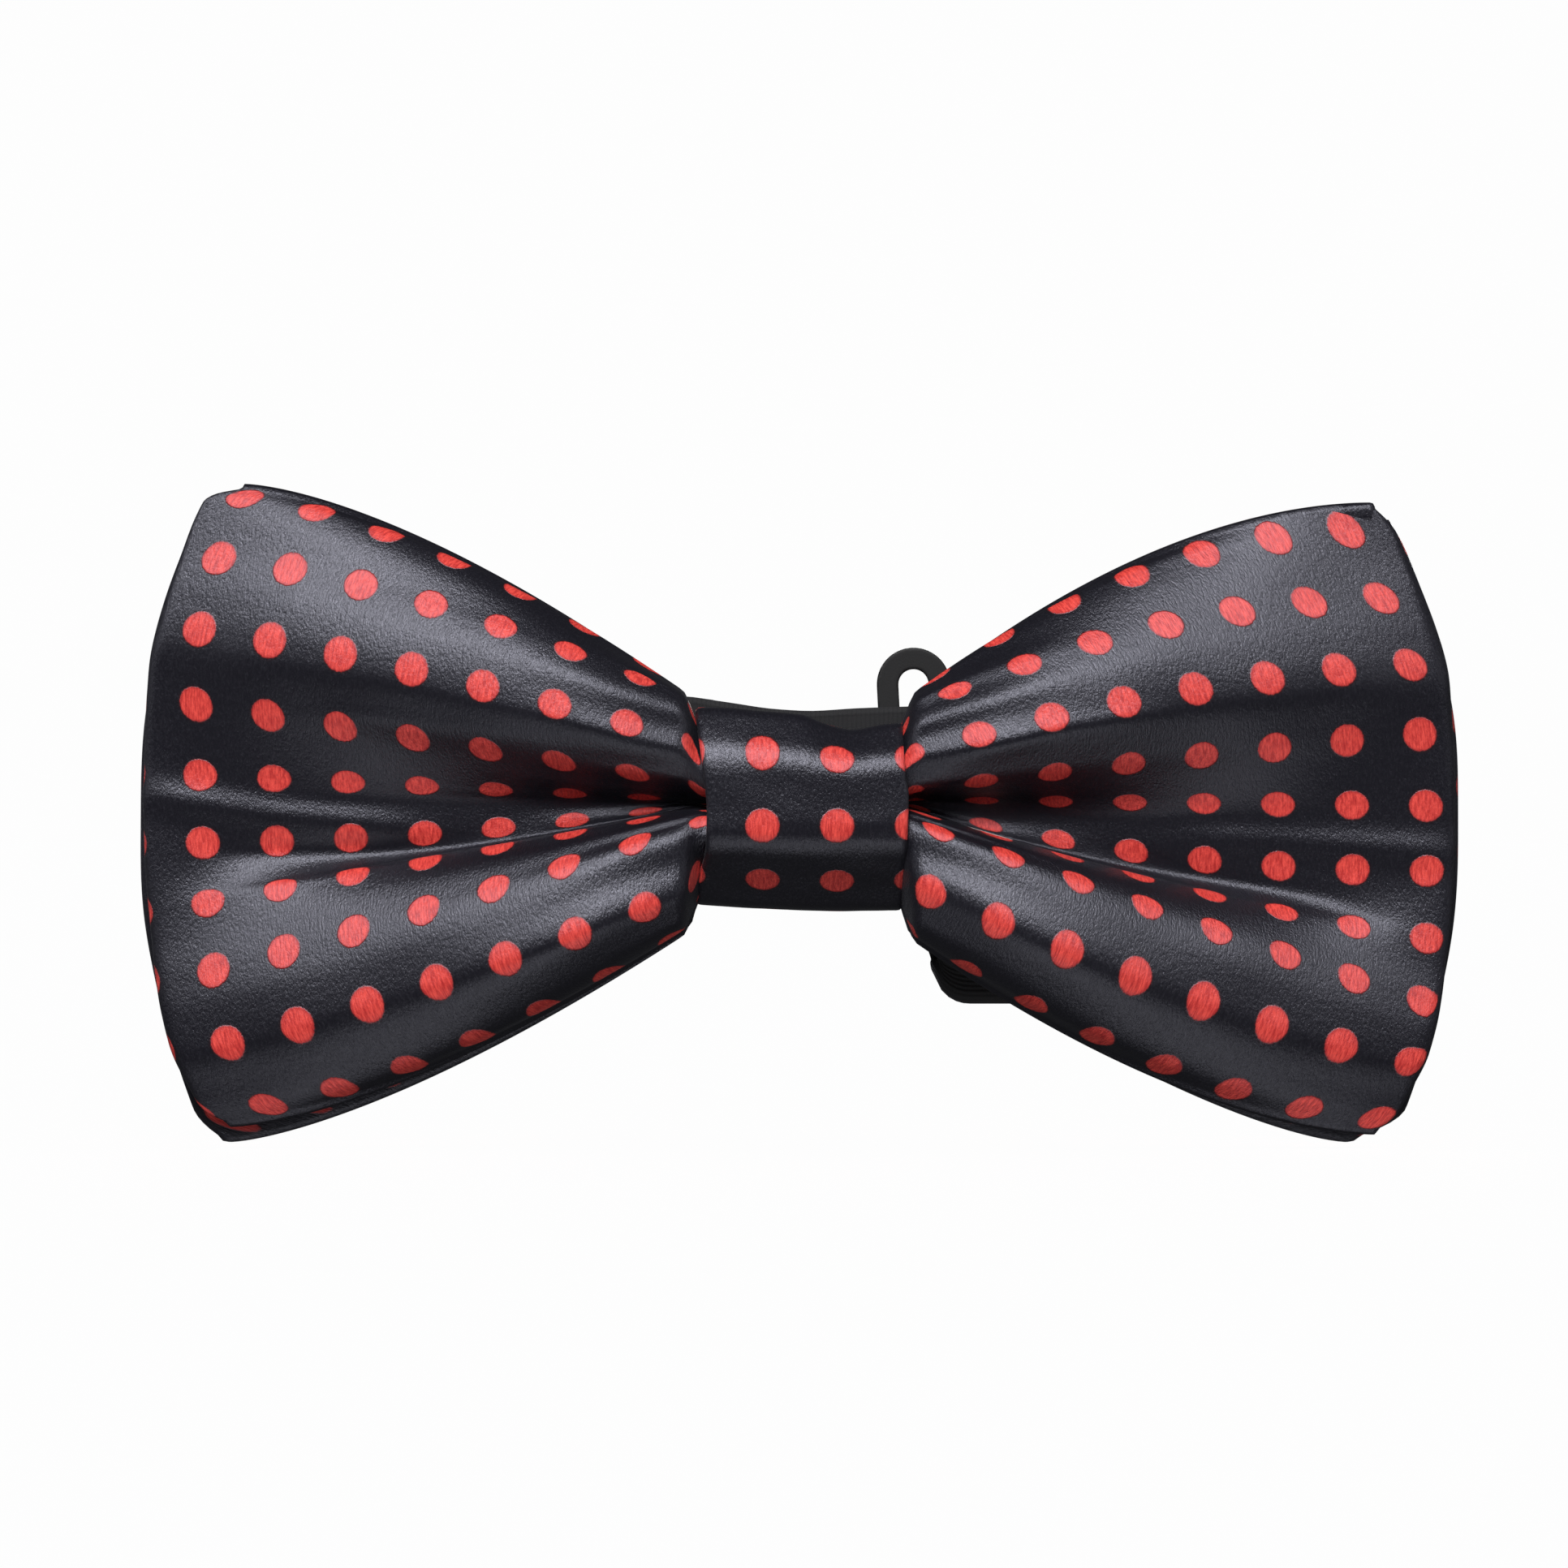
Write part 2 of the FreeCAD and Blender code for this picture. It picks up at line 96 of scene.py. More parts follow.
# the fold lines, where the corners start to be drawn in, and the hems behind the fold lines
FOLD_AT = 31.0
CORNER_FROM = 28.2
HEM = 2.6
HEM_RADIUS = 0.45
KNOT_HEM = 2.2
# threads and stitches
BINDING_THREAD = 0.18
BINDING_TURNS = 12
KNOT_STITCHES = 9
STITCH_PITCH = 1.5
STITCH_HALF = 0.58
STITCH_THREAD = 0.13
TACK_REACH = 2
EYE_TACK_DROPS = (3.4, 6.15)
# the strap: its tail beyond the eye, and how far it drops on its way through the knot
EYE_TAIL = 4.7
KNOT_RUN_DROP = 3.3
# how fine the moulded parts' skin is
MOULD_VOXEL = 0.13
# the linings: half their width, and their thicknesses
LINING_HALF = 23.5
LINING_SHEET = 0.2
KNOT_LINING_SHEET = 0.4
# the ribbon's thickness and width
RIBBON = RETURN_HIGH[1] - RETURN_LOW[1]
RIBBON_WIDTH = RETURN_HIGH[2] - RETURN_LOW[2]


# -------------------- small helpers


def ramp(value, low, high):
    """0 below low, 1 above high, smooth between."""
    share = np.clip((value - low) / (high - low), 0, 1)
    return share * share * (3 - 2 * share)


def flowing(knots, values, at):
    """Columns of values between knots, by cubics that never overshoot."""
    knots, values, at = np.asarray(knots, float), np.asarray(values, float), np.asarray(at, float)
    gap = np.diff(knots)[:, None]
    slope = np.diff(values, axis=0) / gap
    before, after = slope[:-1], slope[1:]
    near, far = 2 * gap[1:] + gap[:-1], gap[1:] + 2 * gap[:-1]
    same = before * after > 0
    safe_before, safe_after = np.where(same, before, 1), np.where(same, after, 1)
    tangent = np.vstack([
        slope[:1],
        np.where(same, (near + far) / (near / safe_before + far / safe_after), 0),
        slope[-1:],
    ])
    place = np.clip(np.searchsorted(knots, at) - 1, 0, len(knots) - 2)
    width = gap[place]
    share = ((at - knots[place])[..., None] / width).clip(0, 1)
    rise = share * share * (3 - 2 * share)
    return (
        values[place] * (1 - rise)
        + values[place + 1] * rise
        + tangent[place] * width * share * (1 - share) ** 2
        - tangent[place + 1] * width * share ** 2 * (1 - share)
    )


def soft_noise(x, y, seed, size):
    """A smooth random height, from a few sine waves of seeded direction."""
    random = np.random.default_rng(seed)
    total = np.zeros(np.broadcast(x, y).shape)
    for _ in range(7):
        angle, phase = random.uniform(0, math.tau, 2)
        scale = random.uniform(0.7, 1.8) / size
        total += np.sin((x * math.cos(angle) + y * math.sin(angle)) * scale * math.tau + phase)
    return total / 7


def grid_mesh(name, points, uv=None, wrap_u=False, wrap_v=False):
    """A mesh through a grid of points in millimetres, closed round either way if asked."""
    rows, columns = points.shape[:2]
    mesh = bpy.data.meshes.new(name)
    index = np.arange(rows * columns).reshape(rows, columns)
    next_row = np.roll(index, -1, 0) if wrap_u else index[1:]
    first = index if wrap_u else index[:-1]
    if wrap_v:
        corners = (first, next_row, np.roll(next_row, -1, 1), np.roll(first, -1, 1))
    else:
        corners = (first[:, :-1], next_row[:, :-1], next_row[:, 1:], first[:, 1:])
    faces = np.stack([corner.ravel() for corner in corners], 1)
    mesh.from_pydata((points.reshape(-1, 3) * MM).tolist(), [], faces.tolist())
    if uv is not None:
        layer = mesh.uv_layers.new(name="cloth")
        u_extent = uv[-1:] * 2 - uv[-2:-1]
        marks = np.concatenate([uv, u_extent], 0) if wrap_u else uv
        place = np.arange(marks.shape[0] * marks.shape[1]).reshape(marks.shape[:2])
        used = (place[:-1, :-1], place[1:, :-1], place[1:, 1:], place[:-1, 1:])
        loops = np.stack([corner.ravel() for corner in used], 1)
        layer.data.foreach_set("uv", marks.reshape(-1, 2)[loops.ravel()].astype(np.float32).ravel())
    mesh.polygons.foreach_set("use_smooth", [True] * len(mesh.polygons))
    mesh.update()
    return new_object(name, mesh)


def new_object(name, data):
    """A new object, linked to the scene."""
    made = bpy.data.objects.new(name, data)
    bpy.context.scene.collection.objects.link(made)
    return made


def select_only(*pieces):
    """Select these pieces and nothing else, with the first one active."""
    bpy.ops.object.select_all(action="DESELECT")
    for piece in pieces:
        piece.select_set(True)
    bpy.context.view_layer.objects.active = pieces[0]


@contextmanager
def editing(piece):
    """The piece's mesh open for editing, written back at the end."""
    mesh = bmesh.new()
    mesh.from_mesh(piece.data)
    yield mesh
    mesh.to_mesh(piece.data)
    mesh.free()


def apply_modifiers(piece):
    """Make the piece's modifiers part of its mesh."""
    select_only(piece)
    for modifier in list(piece.modifiers):
        bpy.ops.object.modifier_apply(modifier=modifier.name)


def thicken(piece, thickness, offset=-1.0):
    """Give a surface real thickness, inwards from its normals when the offset is -1."""
    modifier = piece.modifiers.new("thickness", "SOLIDIFY")
    modifier.thickness = thickness * MM
    modifier.offset = offset
    modifier.use_even_offset = False
    apply_modifiers(piece)


def dress(piece, material, body, slot, *nodes):
    """Give a piece its material, the body that it rides on and the nodes that it stands for."""
    piece.data.materials.clear()
    piece.data.materials.append(material)
    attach(piece, body)
    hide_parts(*nodes)


def join(pieces, name):
    """Join several meshes into the first one."""
    select_only(*pieces)
    bpy.ops.object.join()
    pieces[0].name = name
    pieces[0].data.name = name
    return pieces[0]


# -------------------- materials


class Nodes:
    """A material's node tree, with short calls to add and link nodes."""

    def __init__(self, name):
        self.material = bpy.data.materials.new(name)
        self.material.use_nodes = True
        self.tree = self.material.node_tree
        self.tree.nodes.clear()
        self.output = self.tree.nodes.new("ShaderNodeOutputMaterial")

    def add(self, kind, inputs=None, **settings):
        node = self.tree.nodes.new(kind)
        for key, value in settings.items():
            setattr(node, key, value)
        for key, value in (inputs or {}).items():
            self.put(node.inputs[key], value)
        return node

    def put(self, socket, value):
        if isinstance(value, bpy.types.NodeSocket):
            self.tree.links.new(value, socket)
        elif isinstance(value, bpy.types.Node):
            self.tree.links.new(value.outputs[0], socket)
        else:
            socket.default_value = value

    def maths(self, operation, first, second=None):
        node = self.tree.nodes.new("ShaderNodeMath")
        node.operation = operation
        for socket, value in zip(node.inputs, (first, second)):
            if value is not None:
                self.put(socket, value)
        return node.outputs[0]

    def times(self, first, second):
        return self.maths("MULTIPLY", first, second)

    def plus(self, first, second):
        return self.maths("ADD", first, second)

    def mix(self, share, first, second):
        node = self.tree.nodes.new("ShaderNodeMix")
        node.data_type = "RGBA"
        self.put(node.inputs[0], share)
        self.put(node.inputs[6], first)
        self.put(node.inputs[7], second)
        return node.outputs[2]

    def scaled(self, vector, scale):
        node = self.tree.nodes.new("ShaderNodeVectorMath")
        node.operation = "MULTIPLY"
        self.put(node.inputs[0], vector)
        node.inputs[1].default_value = scale
        return node.outputs[0]

    def noise(self, vector, detail, roughness=0.5, scale=1.0):
        return self.add("ShaderNodeTexNoise", {
            "Vector": vector, "Scale": scale, "Detail": detail, "Roughness": roughness,
        }).outputs[0]

    def ranged(self, value, low, high, start=0.0, end=1.0):
        """start at low, end at high, in proportion between."""
        return self.add("ShaderNodeMapRange", {
            "Value": value, "From Min": low, "From Max": high, "To Min": start, "To Max": end,
        }).outputs[0]

    def smooth_between(self, value, low, high):
        """0 at low, 1 at high, smooth between."""
        return self.add("ShaderNodeMapRange", {
            "Value": value, "From Min": low, "From Max": high,
        }, interpolation_type="SMOOTHSTEP").outputs[0]

    def bump(self, strength, distance, height):
        return self.add("ShaderNodeBump", {
            "Strength": strength, "Distance": distance, "Height": height,
        })

    def finish(self, shader):
        self.tree.links.new(shader.outputs[0], self.output.inputs[0])
        return self.material


def satin(name):
    """Near-black satin with a square lattice of woven coral-red dots.

    The UV map counts dots: a dot's centre is at every whole number both ways.
    """
    n = Nodes(name)
    cloth = n.add("ShaderNodeUVMap", uv_map="cloth").outputs[0]
    wobble = n.add("ShaderNodeTexNoise", {"Vector": cloth, "Scale": 26.0, "Detail": 2.0})
    shift = n.add("ShaderNodeVectorMath", operation="SUBTRACT")
    n.put(shift.inputs[0], wobble.outputs["Color"])
    shift.inputs[1].default_value = (0.5, 0.5, 0.5)
    edge = n.scaled(shift.outputs[0], (0.02, 0.03, 0))
    placed = n.add("ShaderNodeVectorMath", operation="ADD")
    n.put(placed.inputs[0], cloth)
    n.put(placed.inputs[1], edge)
    split = n.add("ShaderNodeSeparateXYZ", {"Vector": placed.outputs[0]})
    along = n.maths("SUBTRACT", n.maths("FRACT", n.plus(split.outputs[0], 100.5)), 0.5)
    along = n.times(along, PITCH_ALONG / PITCH)
    across = n.maths("SUBTRACT", n.maths("FRACT", n.plus(split.outputs[1], 100.5)), 0.5)
    across_squared = n.times(across, across)
    along_squared = n.times(along, along)
    distance = n.maths("SQRT", n.plus(across_squared, along_squared))
    radius = DOT_RADIUS / PITCH
    dot = n.smooth_between(distance, radius + 0.012, radius - 0.012)
    rim = n.smooth_between(distance, radius * 0.8, radius * 1.02)
    halo = n.smooth_between(distance, radius * 1.2, radius)
    # the satin's long floats and the dots' threads run across the wing, with a fine twill over them
    floats = n.noise(n.scaled(cloth, (26.0, 7.0, 1.0)), 3.0, 0.75)
    twill = n.noise(n.scaled(cloth, (30.0, 20.0, 1.0)), 2.0, 0.65)
    weft = n.smooth_between(n.noise(n.scaled(cloth, (32.0, 5.0, 1.0)), 3.0, 0.65), 0.3, 0.7)
    patch = n.noise(n.scaled(cloth, (0.5, 0.5, 1.0)), 2.0, 0.5)
    dark = n.mix(patch, (0.0042, 0.0040, 0.0064, 1), (0.0078, 0.0072, 0.0108, 1))
    grain = n.times(floats, twill)
    speck = n.smooth_between(grain, 0.2, 0.5)
    dark = n.mix(n.times(speck, 0.6), dark, (0.016, 0.0155, 0.021, 1))
    dark = n.mix(n.times(halo, 0.5), dark, (0.020, 0.004, 0.004, 1))
    red = n.mix(weft, (0.41, 0.020, 0.018, 1), (0.77, 0.074, 0.056, 1))
    red = n.mix(n.times(rim, 0.55), red, (0.22, 0.008, 0.010, 1))
    colour = n.mix(dot, dark, red)
    height = n.plus(n.times(floats, 0.8), n.times(twill, 0.5))
    height = n.plus(height, n.times(dot, 0.4))
    bump = n.bump(0.8, 0.00011, height)
    rough = n.ranged(grain, 0.1, 0.45, 0.34, 0.50)
    rough = n.plus(rough, n.times(dot, 0.12))
    tangent = n.add("ShaderNodeTangent", direction_type="UV_MAP", uv_map="cloth")
    shader = n.add("ShaderNodeBsdfPrincipled", {
        "Base Color": colour, "Roughness": rough, "Anisotropic": 0.6, "Normal": bump,
        "Tangent": tangent, "Specular IOR Level": 0.62, "Specular Tint": (0.86, 0.86, 1, 1),
        "Sheen Weight": 0.03, "Sheen Roughness": 0.35, "Sheen Tint": (0.75, 0.76, 0.85, 1),
    })
    return n.finish(shader)


def ribbon_cloth():
    """Matte black ribbon with fine ribs across it and a firm selvedge."""
    n = Nodes("ribbon_cloth")
    cloth = n.add("ShaderNodeUVMap", uv_map="cloth").outputs[0]
    split = n.add("ShaderNodeSeparateXYZ", {"Vector": cloth})
    rib = n.maths("SINE", n.times(split.outputs[0], math.tau / 0.42))
    threads = n.noise(n.scaled(cloth, (2.4, 7.0, 1.0)), 4.0, 0.7)
    wear = n.noise(cloth, 3.0, scale=0.16)
    shade = n.mix(threads, (0.004, 0.004, 0.0045, 1), (0.016, 0.016, 0.018, 1))
    shade = n.mix(n.times(wear, 0.4), shade, (0.022, 0.022, 0.024, 1))
    edge = n.maths("ABSOLUTE", n.maths("SUBTRACT", split.outputs[1], RIBBON_WIDTH / 2))
    selvedge = n.ranged(edge, RIBBON_WIDTH / 2 - 0.7, RIBBON_WIDTH / 2 - 0.5)
    height = n.plus(n.times(rib, 0.5), n.times(threads, 0.8))
    height = n.plus(height, n.times(selvedge, 0.6))
    bump = n.bump(0.5, 0.00008, height)
    rough = n.plus(0.62, n.times(threads, 0.25))
    shader = n.add("ShaderNodeBsdfPrincipled", {
        "Base Color": shade, "Roughness": rough, "Normal": bump, "Specular IOR Level": 0.25,
        "Sheen Weight": 0.2, "Sheen Roughness": 0.5, "Sheen Tint": (0.6, 0.6, 0.65, 1),
    })
    return n.finish(shader)


def thread():
    """Black polyester sewing thread with a slight twist."""
    n = Nodes("sewing_thread")
    where = n.add("ShaderNodeTexCoord").outputs["Object"]
    twist = n.noise(n.scaled(where, (9000, 9000, 9000)), 3.0)
    shade = n.mix(twist, (0.006, 0.006, 0.007, 1), (0.03, 0.03, 0.034, 1))
    bump = n.bump(0.6, 0.00004, twist)
    shader = n.add("ShaderNodeBsdfPrincipled", {
        "Base Color": shade, "Roughness": n.plus(0.4, n.times(twist, 0.25)),
        "Normal": bump, "Specular IOR Level": 0.4, "Sheen Weight": 0.15,
    })
    return n.finish(shader)


def felt():
    """White non-woven interlining: short fibres pressed into a mat."""
    n = Nodes("interlining_felt")
    where = n.add("ShaderNodeTexCoord").outputs["Object"]
    fibres = n.noise(n.scaled(where, (1500, 3800, 2600)), 5.0, 0.7)
    clumps = n.noise(where, 2.0, scale=420.0)
    shade = n.mix(fibres, (0.52, 0.52, 0.5, 1), (0.8, 0.8, 0.78, 1))
    shade = n.mix(n.times(clumps, 0.4), shade, (0.62, 0.61, 0.58, 1))
    bump = n.bump(0.6, 0.0001, fibres)
    shader = n.add("ShaderNodeBsdfPrincipled", {
        "Base Color": shade, "Roughness": n.plus(0.75, n.times(clumps, 0.2)),
        "Normal": bump, "Specular IOR Level": 0.2,
    })
    return n.finish(shader)


def moulded():
    """Matte black moulded plastic with a fine spark-eroded grain."""
    n = Nodes("moulded_plastic")
    where = n.add("ShaderNodeTexCoord").outputs["Object"]
    grain = n.noise(n.scaled(where, (6000, 6000, 6000)), 3.0)
    wear = n.noise(where, 3.0, scale=380.0)
    shade = n.mix(wear, (0.004, 0.004, 0.0045, 1), (0.009, 0.009, 0.010, 1))
    bump = n.bump(0.3, 0.00003, grain)
    rough = n.ranged(wear, 0.3, 0.7, 0.5, 0.64)
    shader = n.add("ShaderNodeBsdfPrincipled", {
        "Base Color": shade, "Roughness": rough, "Normal": bump, "Specular IOR Level": 0.28,
    })
    return n.finish(shader)


SATIN = satin("dotted_satin")
RIBBON_CLOTH = ribbon_cloth()
THREAD = thread()
FELT = felt()
MOULDED = moulded()


# -------------------- the two bows

# A wing's ply is a sheet that fans out from the knot. Each row is a thread of the cloth: its place
# across the cloth, its height at the knot and at the tip, and how soon it fans out.
LEFT_ROWS = (
    (-31.0, -9.6, -28.2, 1.5),
    (-29.25, -9.8, -27.3, 1.6),
    (-22.75, -6.8, -21.6, 1.2),
    (-16.25, -0.6, -15.2, 1.1),
    (-9.75, 0.4, -8.9, 0.98),
    (-3.25, 0.9, -2.7, 2.2),
    (3.25, 1.2, 3.7, 1.0),
    (9.75, 2.7, 10.5, 1.0),
    (16.25, 6.4, 17.1, 1.27),
    (22.75, 10.2, 23.5, 1.5),
    (29.25, 10.3, 29.1, 1.66),
    (31.0, 9.6, 29.7, 1.5),
)
RIGHT_ROWS = (
    (-31.0, -10.4, -28.9, 1.65),
    (-29.25, -10.4, -27.9, 1.65),
    (-22.75, -6.0, -22.6, 1.22),
    (-16.25, -0.2, -17.3, 1.02),
    (-9.75, 0.6, -11.5, 1.25),
    (-3.25, 1.0, -5.2, 2.4),
    (3.25, 1.3, 0.65, 1.0),
    (9.75, 2.0, 7.4, 1.12),
    (16.25, 5.3, 13.6, 1.6),
    (22.75, 9.2, 19.7, 2.0),
    (29.25, 10.2, 25.9, 2.1),
    (31.0, 9.2, 28.0, 1.85),
)

# How far forward each thread lies, at four stations from the knot to the tip: two ridges with a
# deep valley between them, rolling back at the top and bottom edges.
STATIONS = (0.0, 0.22, 0.6, 1.0)
FRONT_DEPTHS = (
    (-31.0, -10.2, -9.6, -8.0, -7.4),
    (-26.5, -12.8, -13.6, -11.2, -8.4),
    (-22.75, -14.2, -15.9, -13.0, -9.4),
    (-19.5, -14.0, -15.3, -12.7, -9.3),
    (-16.0, -13.2, -14.2, -11.8, -8.9),
    (-12.5, -12.4, -12.9, -10.6, -8.4),
    (-9.75, -11.0, -11.0, -9.4, -8.2),
    (-5.0, -8.5, -7.8, -7.5, -8.0),
    (0.0, -8.1, -7.9, -7.7, -7.9),
    (4.0, -9.0, -9.2, -8.6, -8.1),
    (8.0, -11.0, -11.6, -10.2, -8.4),
    (11.0, -12.8, -13.6, -11.7, -8.7),
    (15.0, -14.0, -15.7, -13.3, -9.2),
    (19.0, -13.8, -15.3, -12.7, -8.8),
    (23.0, -13.0, -13.9, -11.4, -8.1),
    (27.0, -11.8, -12.0, -10.0, -7.5),
    (31.0, -10.2, -9.8, -8.2, -7.1),
)

# Smaller folds: the line that each follows, out from the middle and up, then how far it stands
# forward and its half width.
LEFT_FOLDS = (
    (((34.0, -1.4), (47.5, -0.15), (59.5, 1.6)), 0.5, 1.5),
    (((28.4, -2.9), (40.0, -3.4), (52.8, -3.6)), -0.35, 1.1),
    (((8.6, 4.3), (25.0, 6.6), (42.2, 9.1)), 0.25, 1.1),
)
RIGHT_FOLDS = (
    (((34.0, -2.1), (42.4, -2.4), (59.4, -3.5)), 0.35, 1.5),
    (((27.0, -3.8), (40.0, -6.6), (52.8, -9.4)), -0.3, 1.3),
    (((10.3, 3.4), (23.2, 7.6), (32.0, 9.0)), 0.22, 1.1),
)


def creases(rows, depths):
    """One table of rows with their depths, at the places of both."""
    rows, depths = np.array(rows), np.array(depths)
    places = np.union1d(rows[:, 0], depths[:, 0])
    lines = flowing(rows[:, 0], rows[:, 1:], places)
    return places, np.hstack([lines, flowing(depths[:, 0], depths[:, 1:], places)])


FRONT_LEFT = creases(LEFT_ROWS, FRONT_DEPTHS)
FRONT_RIGHT = creases(RIGHT_ROWS, FRONT_DEPTHS)

FLAT_ROWS = (
    (-31.0, -9.2, -28.0, 1.5),
    (-15.0, -4.8, -13.8, 1.3),
    (0.0, 0.0, 0.3, 1.0),
    (15.0, 4.8, 14.2, 1.3),
    (31.0, 9.0, 28.0, 1.6),
)
REAR_ROWS = (
    (-31.0, -9.9, -29.7, 1.42),
    (-22.0, -7.8, -20.9, 1.3),
    (-12.0, -2.6, -11.8, 1.1),
    (0.0, 0.0, -0.6, 1.0),
    (12.0, 2.6, 10.4, 1.15),
    (22.0, 7.8, 18.6, 1.5),
    (31.0, 8.8, 26.6, 2.0),
)
FRONT_BACK_PLY = creases(FLAT_ROWS, (
    (-31.0, -8.4, -7.0, -6.6, -6.3),
    (-12.0, -7.2, -6.7, -6.5, -6.3),
    (12.0, -7.2, -6.7, -6.5, -6.3),
    (31.0, -8.4, -7.0, -6.6, -6.3),
))
REAR_FRONT_PLY = creases(REAR_ROWS, (
    (-31.0, -6.6, -6.1, -5.6, -5.4),
    (0.0, -6.4, -6.0, -5.7, -5.5),
    (31.0, -6.6, -6.1, -5.6, -5.4),
))
REAR_BACK_PLY = creases(REAR_ROWS, (
    (-31.0, -4.6, -4.0, -3.6, -3.5),
    (-22.0, -3.0, -1.9, -2.4, -3.0),
    (-12.0, -3.0, -2.7, -2.7, -2.9),
    (0.0, -5.0, -4.6, -3.8, -3.4),
    (12.0, -3.0, -2.7, -2.7, -2.9),
    (22.0, -3.0, -1.9, -2.4, -3.0),
    (31.0, -4.6, -4.0, -3.6, -3.5),
))
TIP_GAP = 0.95
# what is left of a bow's height and depth where the knot holds it
NECK_HEIGHT = 0.66
NECK_DEPTH = 0.86


def small_folds(x, z, folds):
    """How far the small folds stand forward at each point."""
    lift = np.zeros_like(x)
    for line, height, width in folds:
        places = np.array(line)
        middle = np.interp(x, places[:, 0], places[:, 1])
        start, end = places[0, 0], places[-1, 0]
        fade = ramp(x, start - 3, start + 7) * (1 - ramp(x, end - 4, end + 4))
        lift += height * np.exp(-((z - middle) / width) ** 2) * fade
    return lift


def corner_cut(across, corners):
    """How far a wing's top and bottom corners are drawn in, in line with the cloth's threads."""
    inside = np.minimum(np.abs(across), FOLD_AT)
    near_fold = np.clip((inside - CORNER_FROM) / (FOLD_AT - CORNER_FROM), 0, 1)
    return np.where(across > 0, corners[0], corners[1]) * near_fold ** 2


def ply_points(table, other_side, share, across, reach, inwards, seed, gather, folds=(), corners=(0, 0)):
    """Points of one ply of one wing. share runs from the middle of the knot, 0, to the tip, 1."""
    inside = np.clip(across, -FOLD_AT, FOLD_AT)
    rows = flowing(*table, inside)
    middle_rows = (rows + flowing(*other_side, inside)) / 2
    edge = reach - TIP_GAP - 0.006 * inside ** 2 - corner_cut(across, corners)
    x = share[:, None] * edge[None, :]
    leaving = ramp(x, 0, KNOT_END - 1)
    at_knot = middle_rows[:, 0] + (rows[:, 0] - middle_rows[:, 0]) * leaving
    at_tip, fan = rows[:, 1], rows[:, 2]
    along = np.clip((x - KNOT_END) / (edge - KNOT_END), 0, 1)
    z = at_knot + (at_tip - rows[:, 0]) * (1 - (1 - along) ** fan)
    depths = flowing(STATIONS, rows[:, 3:].T, along.ravel())
    column = np.tile(np.arange(len(across)), len(share))
    y = depths[np.arange(len(column)), column].reshape(along.shape)
    y = y + (middle_rows[:, 3] - rows[:, 3]) * (1 - leaving)
    gathered = ramp(along, 0.0, 0.04) * (1 - ramp(along, 0.05, 0.4))
    y = y - gathered * gather * np.sin(inside * 1.35 + 2.2 * soft_noise(along * 40, inside, seed, 30))
    y = y - small_folds(x, z, folds)
    y = y + 0.15 * soft_noise(x, z, seed + 1, 19) * ramp(along, 0.05, 0.3)
    neck = ramp(x, KNOT_END - 1.0, KNOT_END + 1.4)
    z = z * (NECK_HEIGHT + (1 - NECK_HEIGHT) * neck)
    middle = (KNOT_LOW[1] + STRAP_LOW[1]) / 2
    y = middle + (y - middle) * (NECK_DEPTH + (1 - NECK_DEPTH) * neck)
    y = y + (np.maximum(y, behind_knot(z, 1.6, -2.2, 4.2)) - y) * (1 - neck)
    beyond, behind = hem_turn(np.clip(np.abs(across) - FOLD_AT, 0, None))
    return np.stack([x, y + inwards * behind, z + np.sign(across) * beyond], -1)


def behind_knot(z, depth, bottom, top):
    """How far back a thing at each height has to lie to stay under the knot's leaning faces."""
    return KNOT_LOW[1] + depth + np.clip(bottom - z, 0, None) * 1.3 + np.clip(z - top, 0, None) * 0.85


def hem_turn(past):
    """How far cloth that runs past a fold line then lies beyond that line, and how far behind it."""
    angle = np.minimum(past / HEM_RADIUS, math.pi)
    straight = np.maximum(past - math.pi * HEM_RADIUS, 0)
    return HEM_RADIUS * np.sin(angle) - straight, HEM_RADIUS * (1 - np.cos(angle))


def loop_side(wing, reach, seed, rows, across):
    """Half of a bow's loop: out along the outer ply, round the tip and back along the inner ply."""
    out = np.concatenate([np.linspace(0, 0.14, 8)[:-1], np.linspace(0.14, 1, rows)])
    outer, inner, toward, gather = wing["outer"], wing["inner"], wing["toward"], wing["gather"]
    corners = wing["corners"]
    front = ply_points(
        outer, wing["other"], out, across, reach, toward, seed, gather, wing["folds"], corners
    )
    back = ply_points(inner, inner, out[::-1], across, reach, -toward, seed + 50, gather, (), corners)
    middle, half = (front[-1] + back[0]) / 2, (back[0] - front[-1]) / 2
    turn = []
    for step in range(1, 8):
        angle = math.pi * step / 8
        point = middle - half * math.cos(angle)
        point[:, 0] = middle[:, 0] + np.abs(half[:, 1]) * math.sin(angle)
        turn.append(point)
    return np.concatenate([front, np.array(turn), back]), len(front) + 3


def bow_loop(name, wings, reach, seed, rows=96, columns=168):
    """A whole bow: a strip of cloth bent round into a flattened loop, pleated at the knot."""
    across = np.linspace(-FOLD_AT - HEM, FOLD_AT + HEM, columns)
    halves = []
    for side, wing in wings.items():
        points, tip = loop_side(wing, reach, seed + side, rows, across)
        steps = np.linalg.norm(np.diff(points, axis=0), axis=2)
        run = np.concatenate([np.zeros((1, columns)), np.cumsum(steps, 0)])
        run = run[tip][None, :] - run + corner_cut(across, wing["corners"])[None, :]
        first, slant = wing["first_dot"]
        count = (run - first + slant * across[None, :]) / PITCH_ALONG
        uv = np.stack([count, np.broadcast_to(across / PITCH + 0.5, count.shape)], -1)
        points[:, :, 0] *= side
        halves.append(grid_mesh(f"{name}_{side}", points, uv))
    bow = join(halves, name)
    weld(bow, 0.02)
    face_outwards(bow)
    thicken(bow, CLOTH)
    return bow


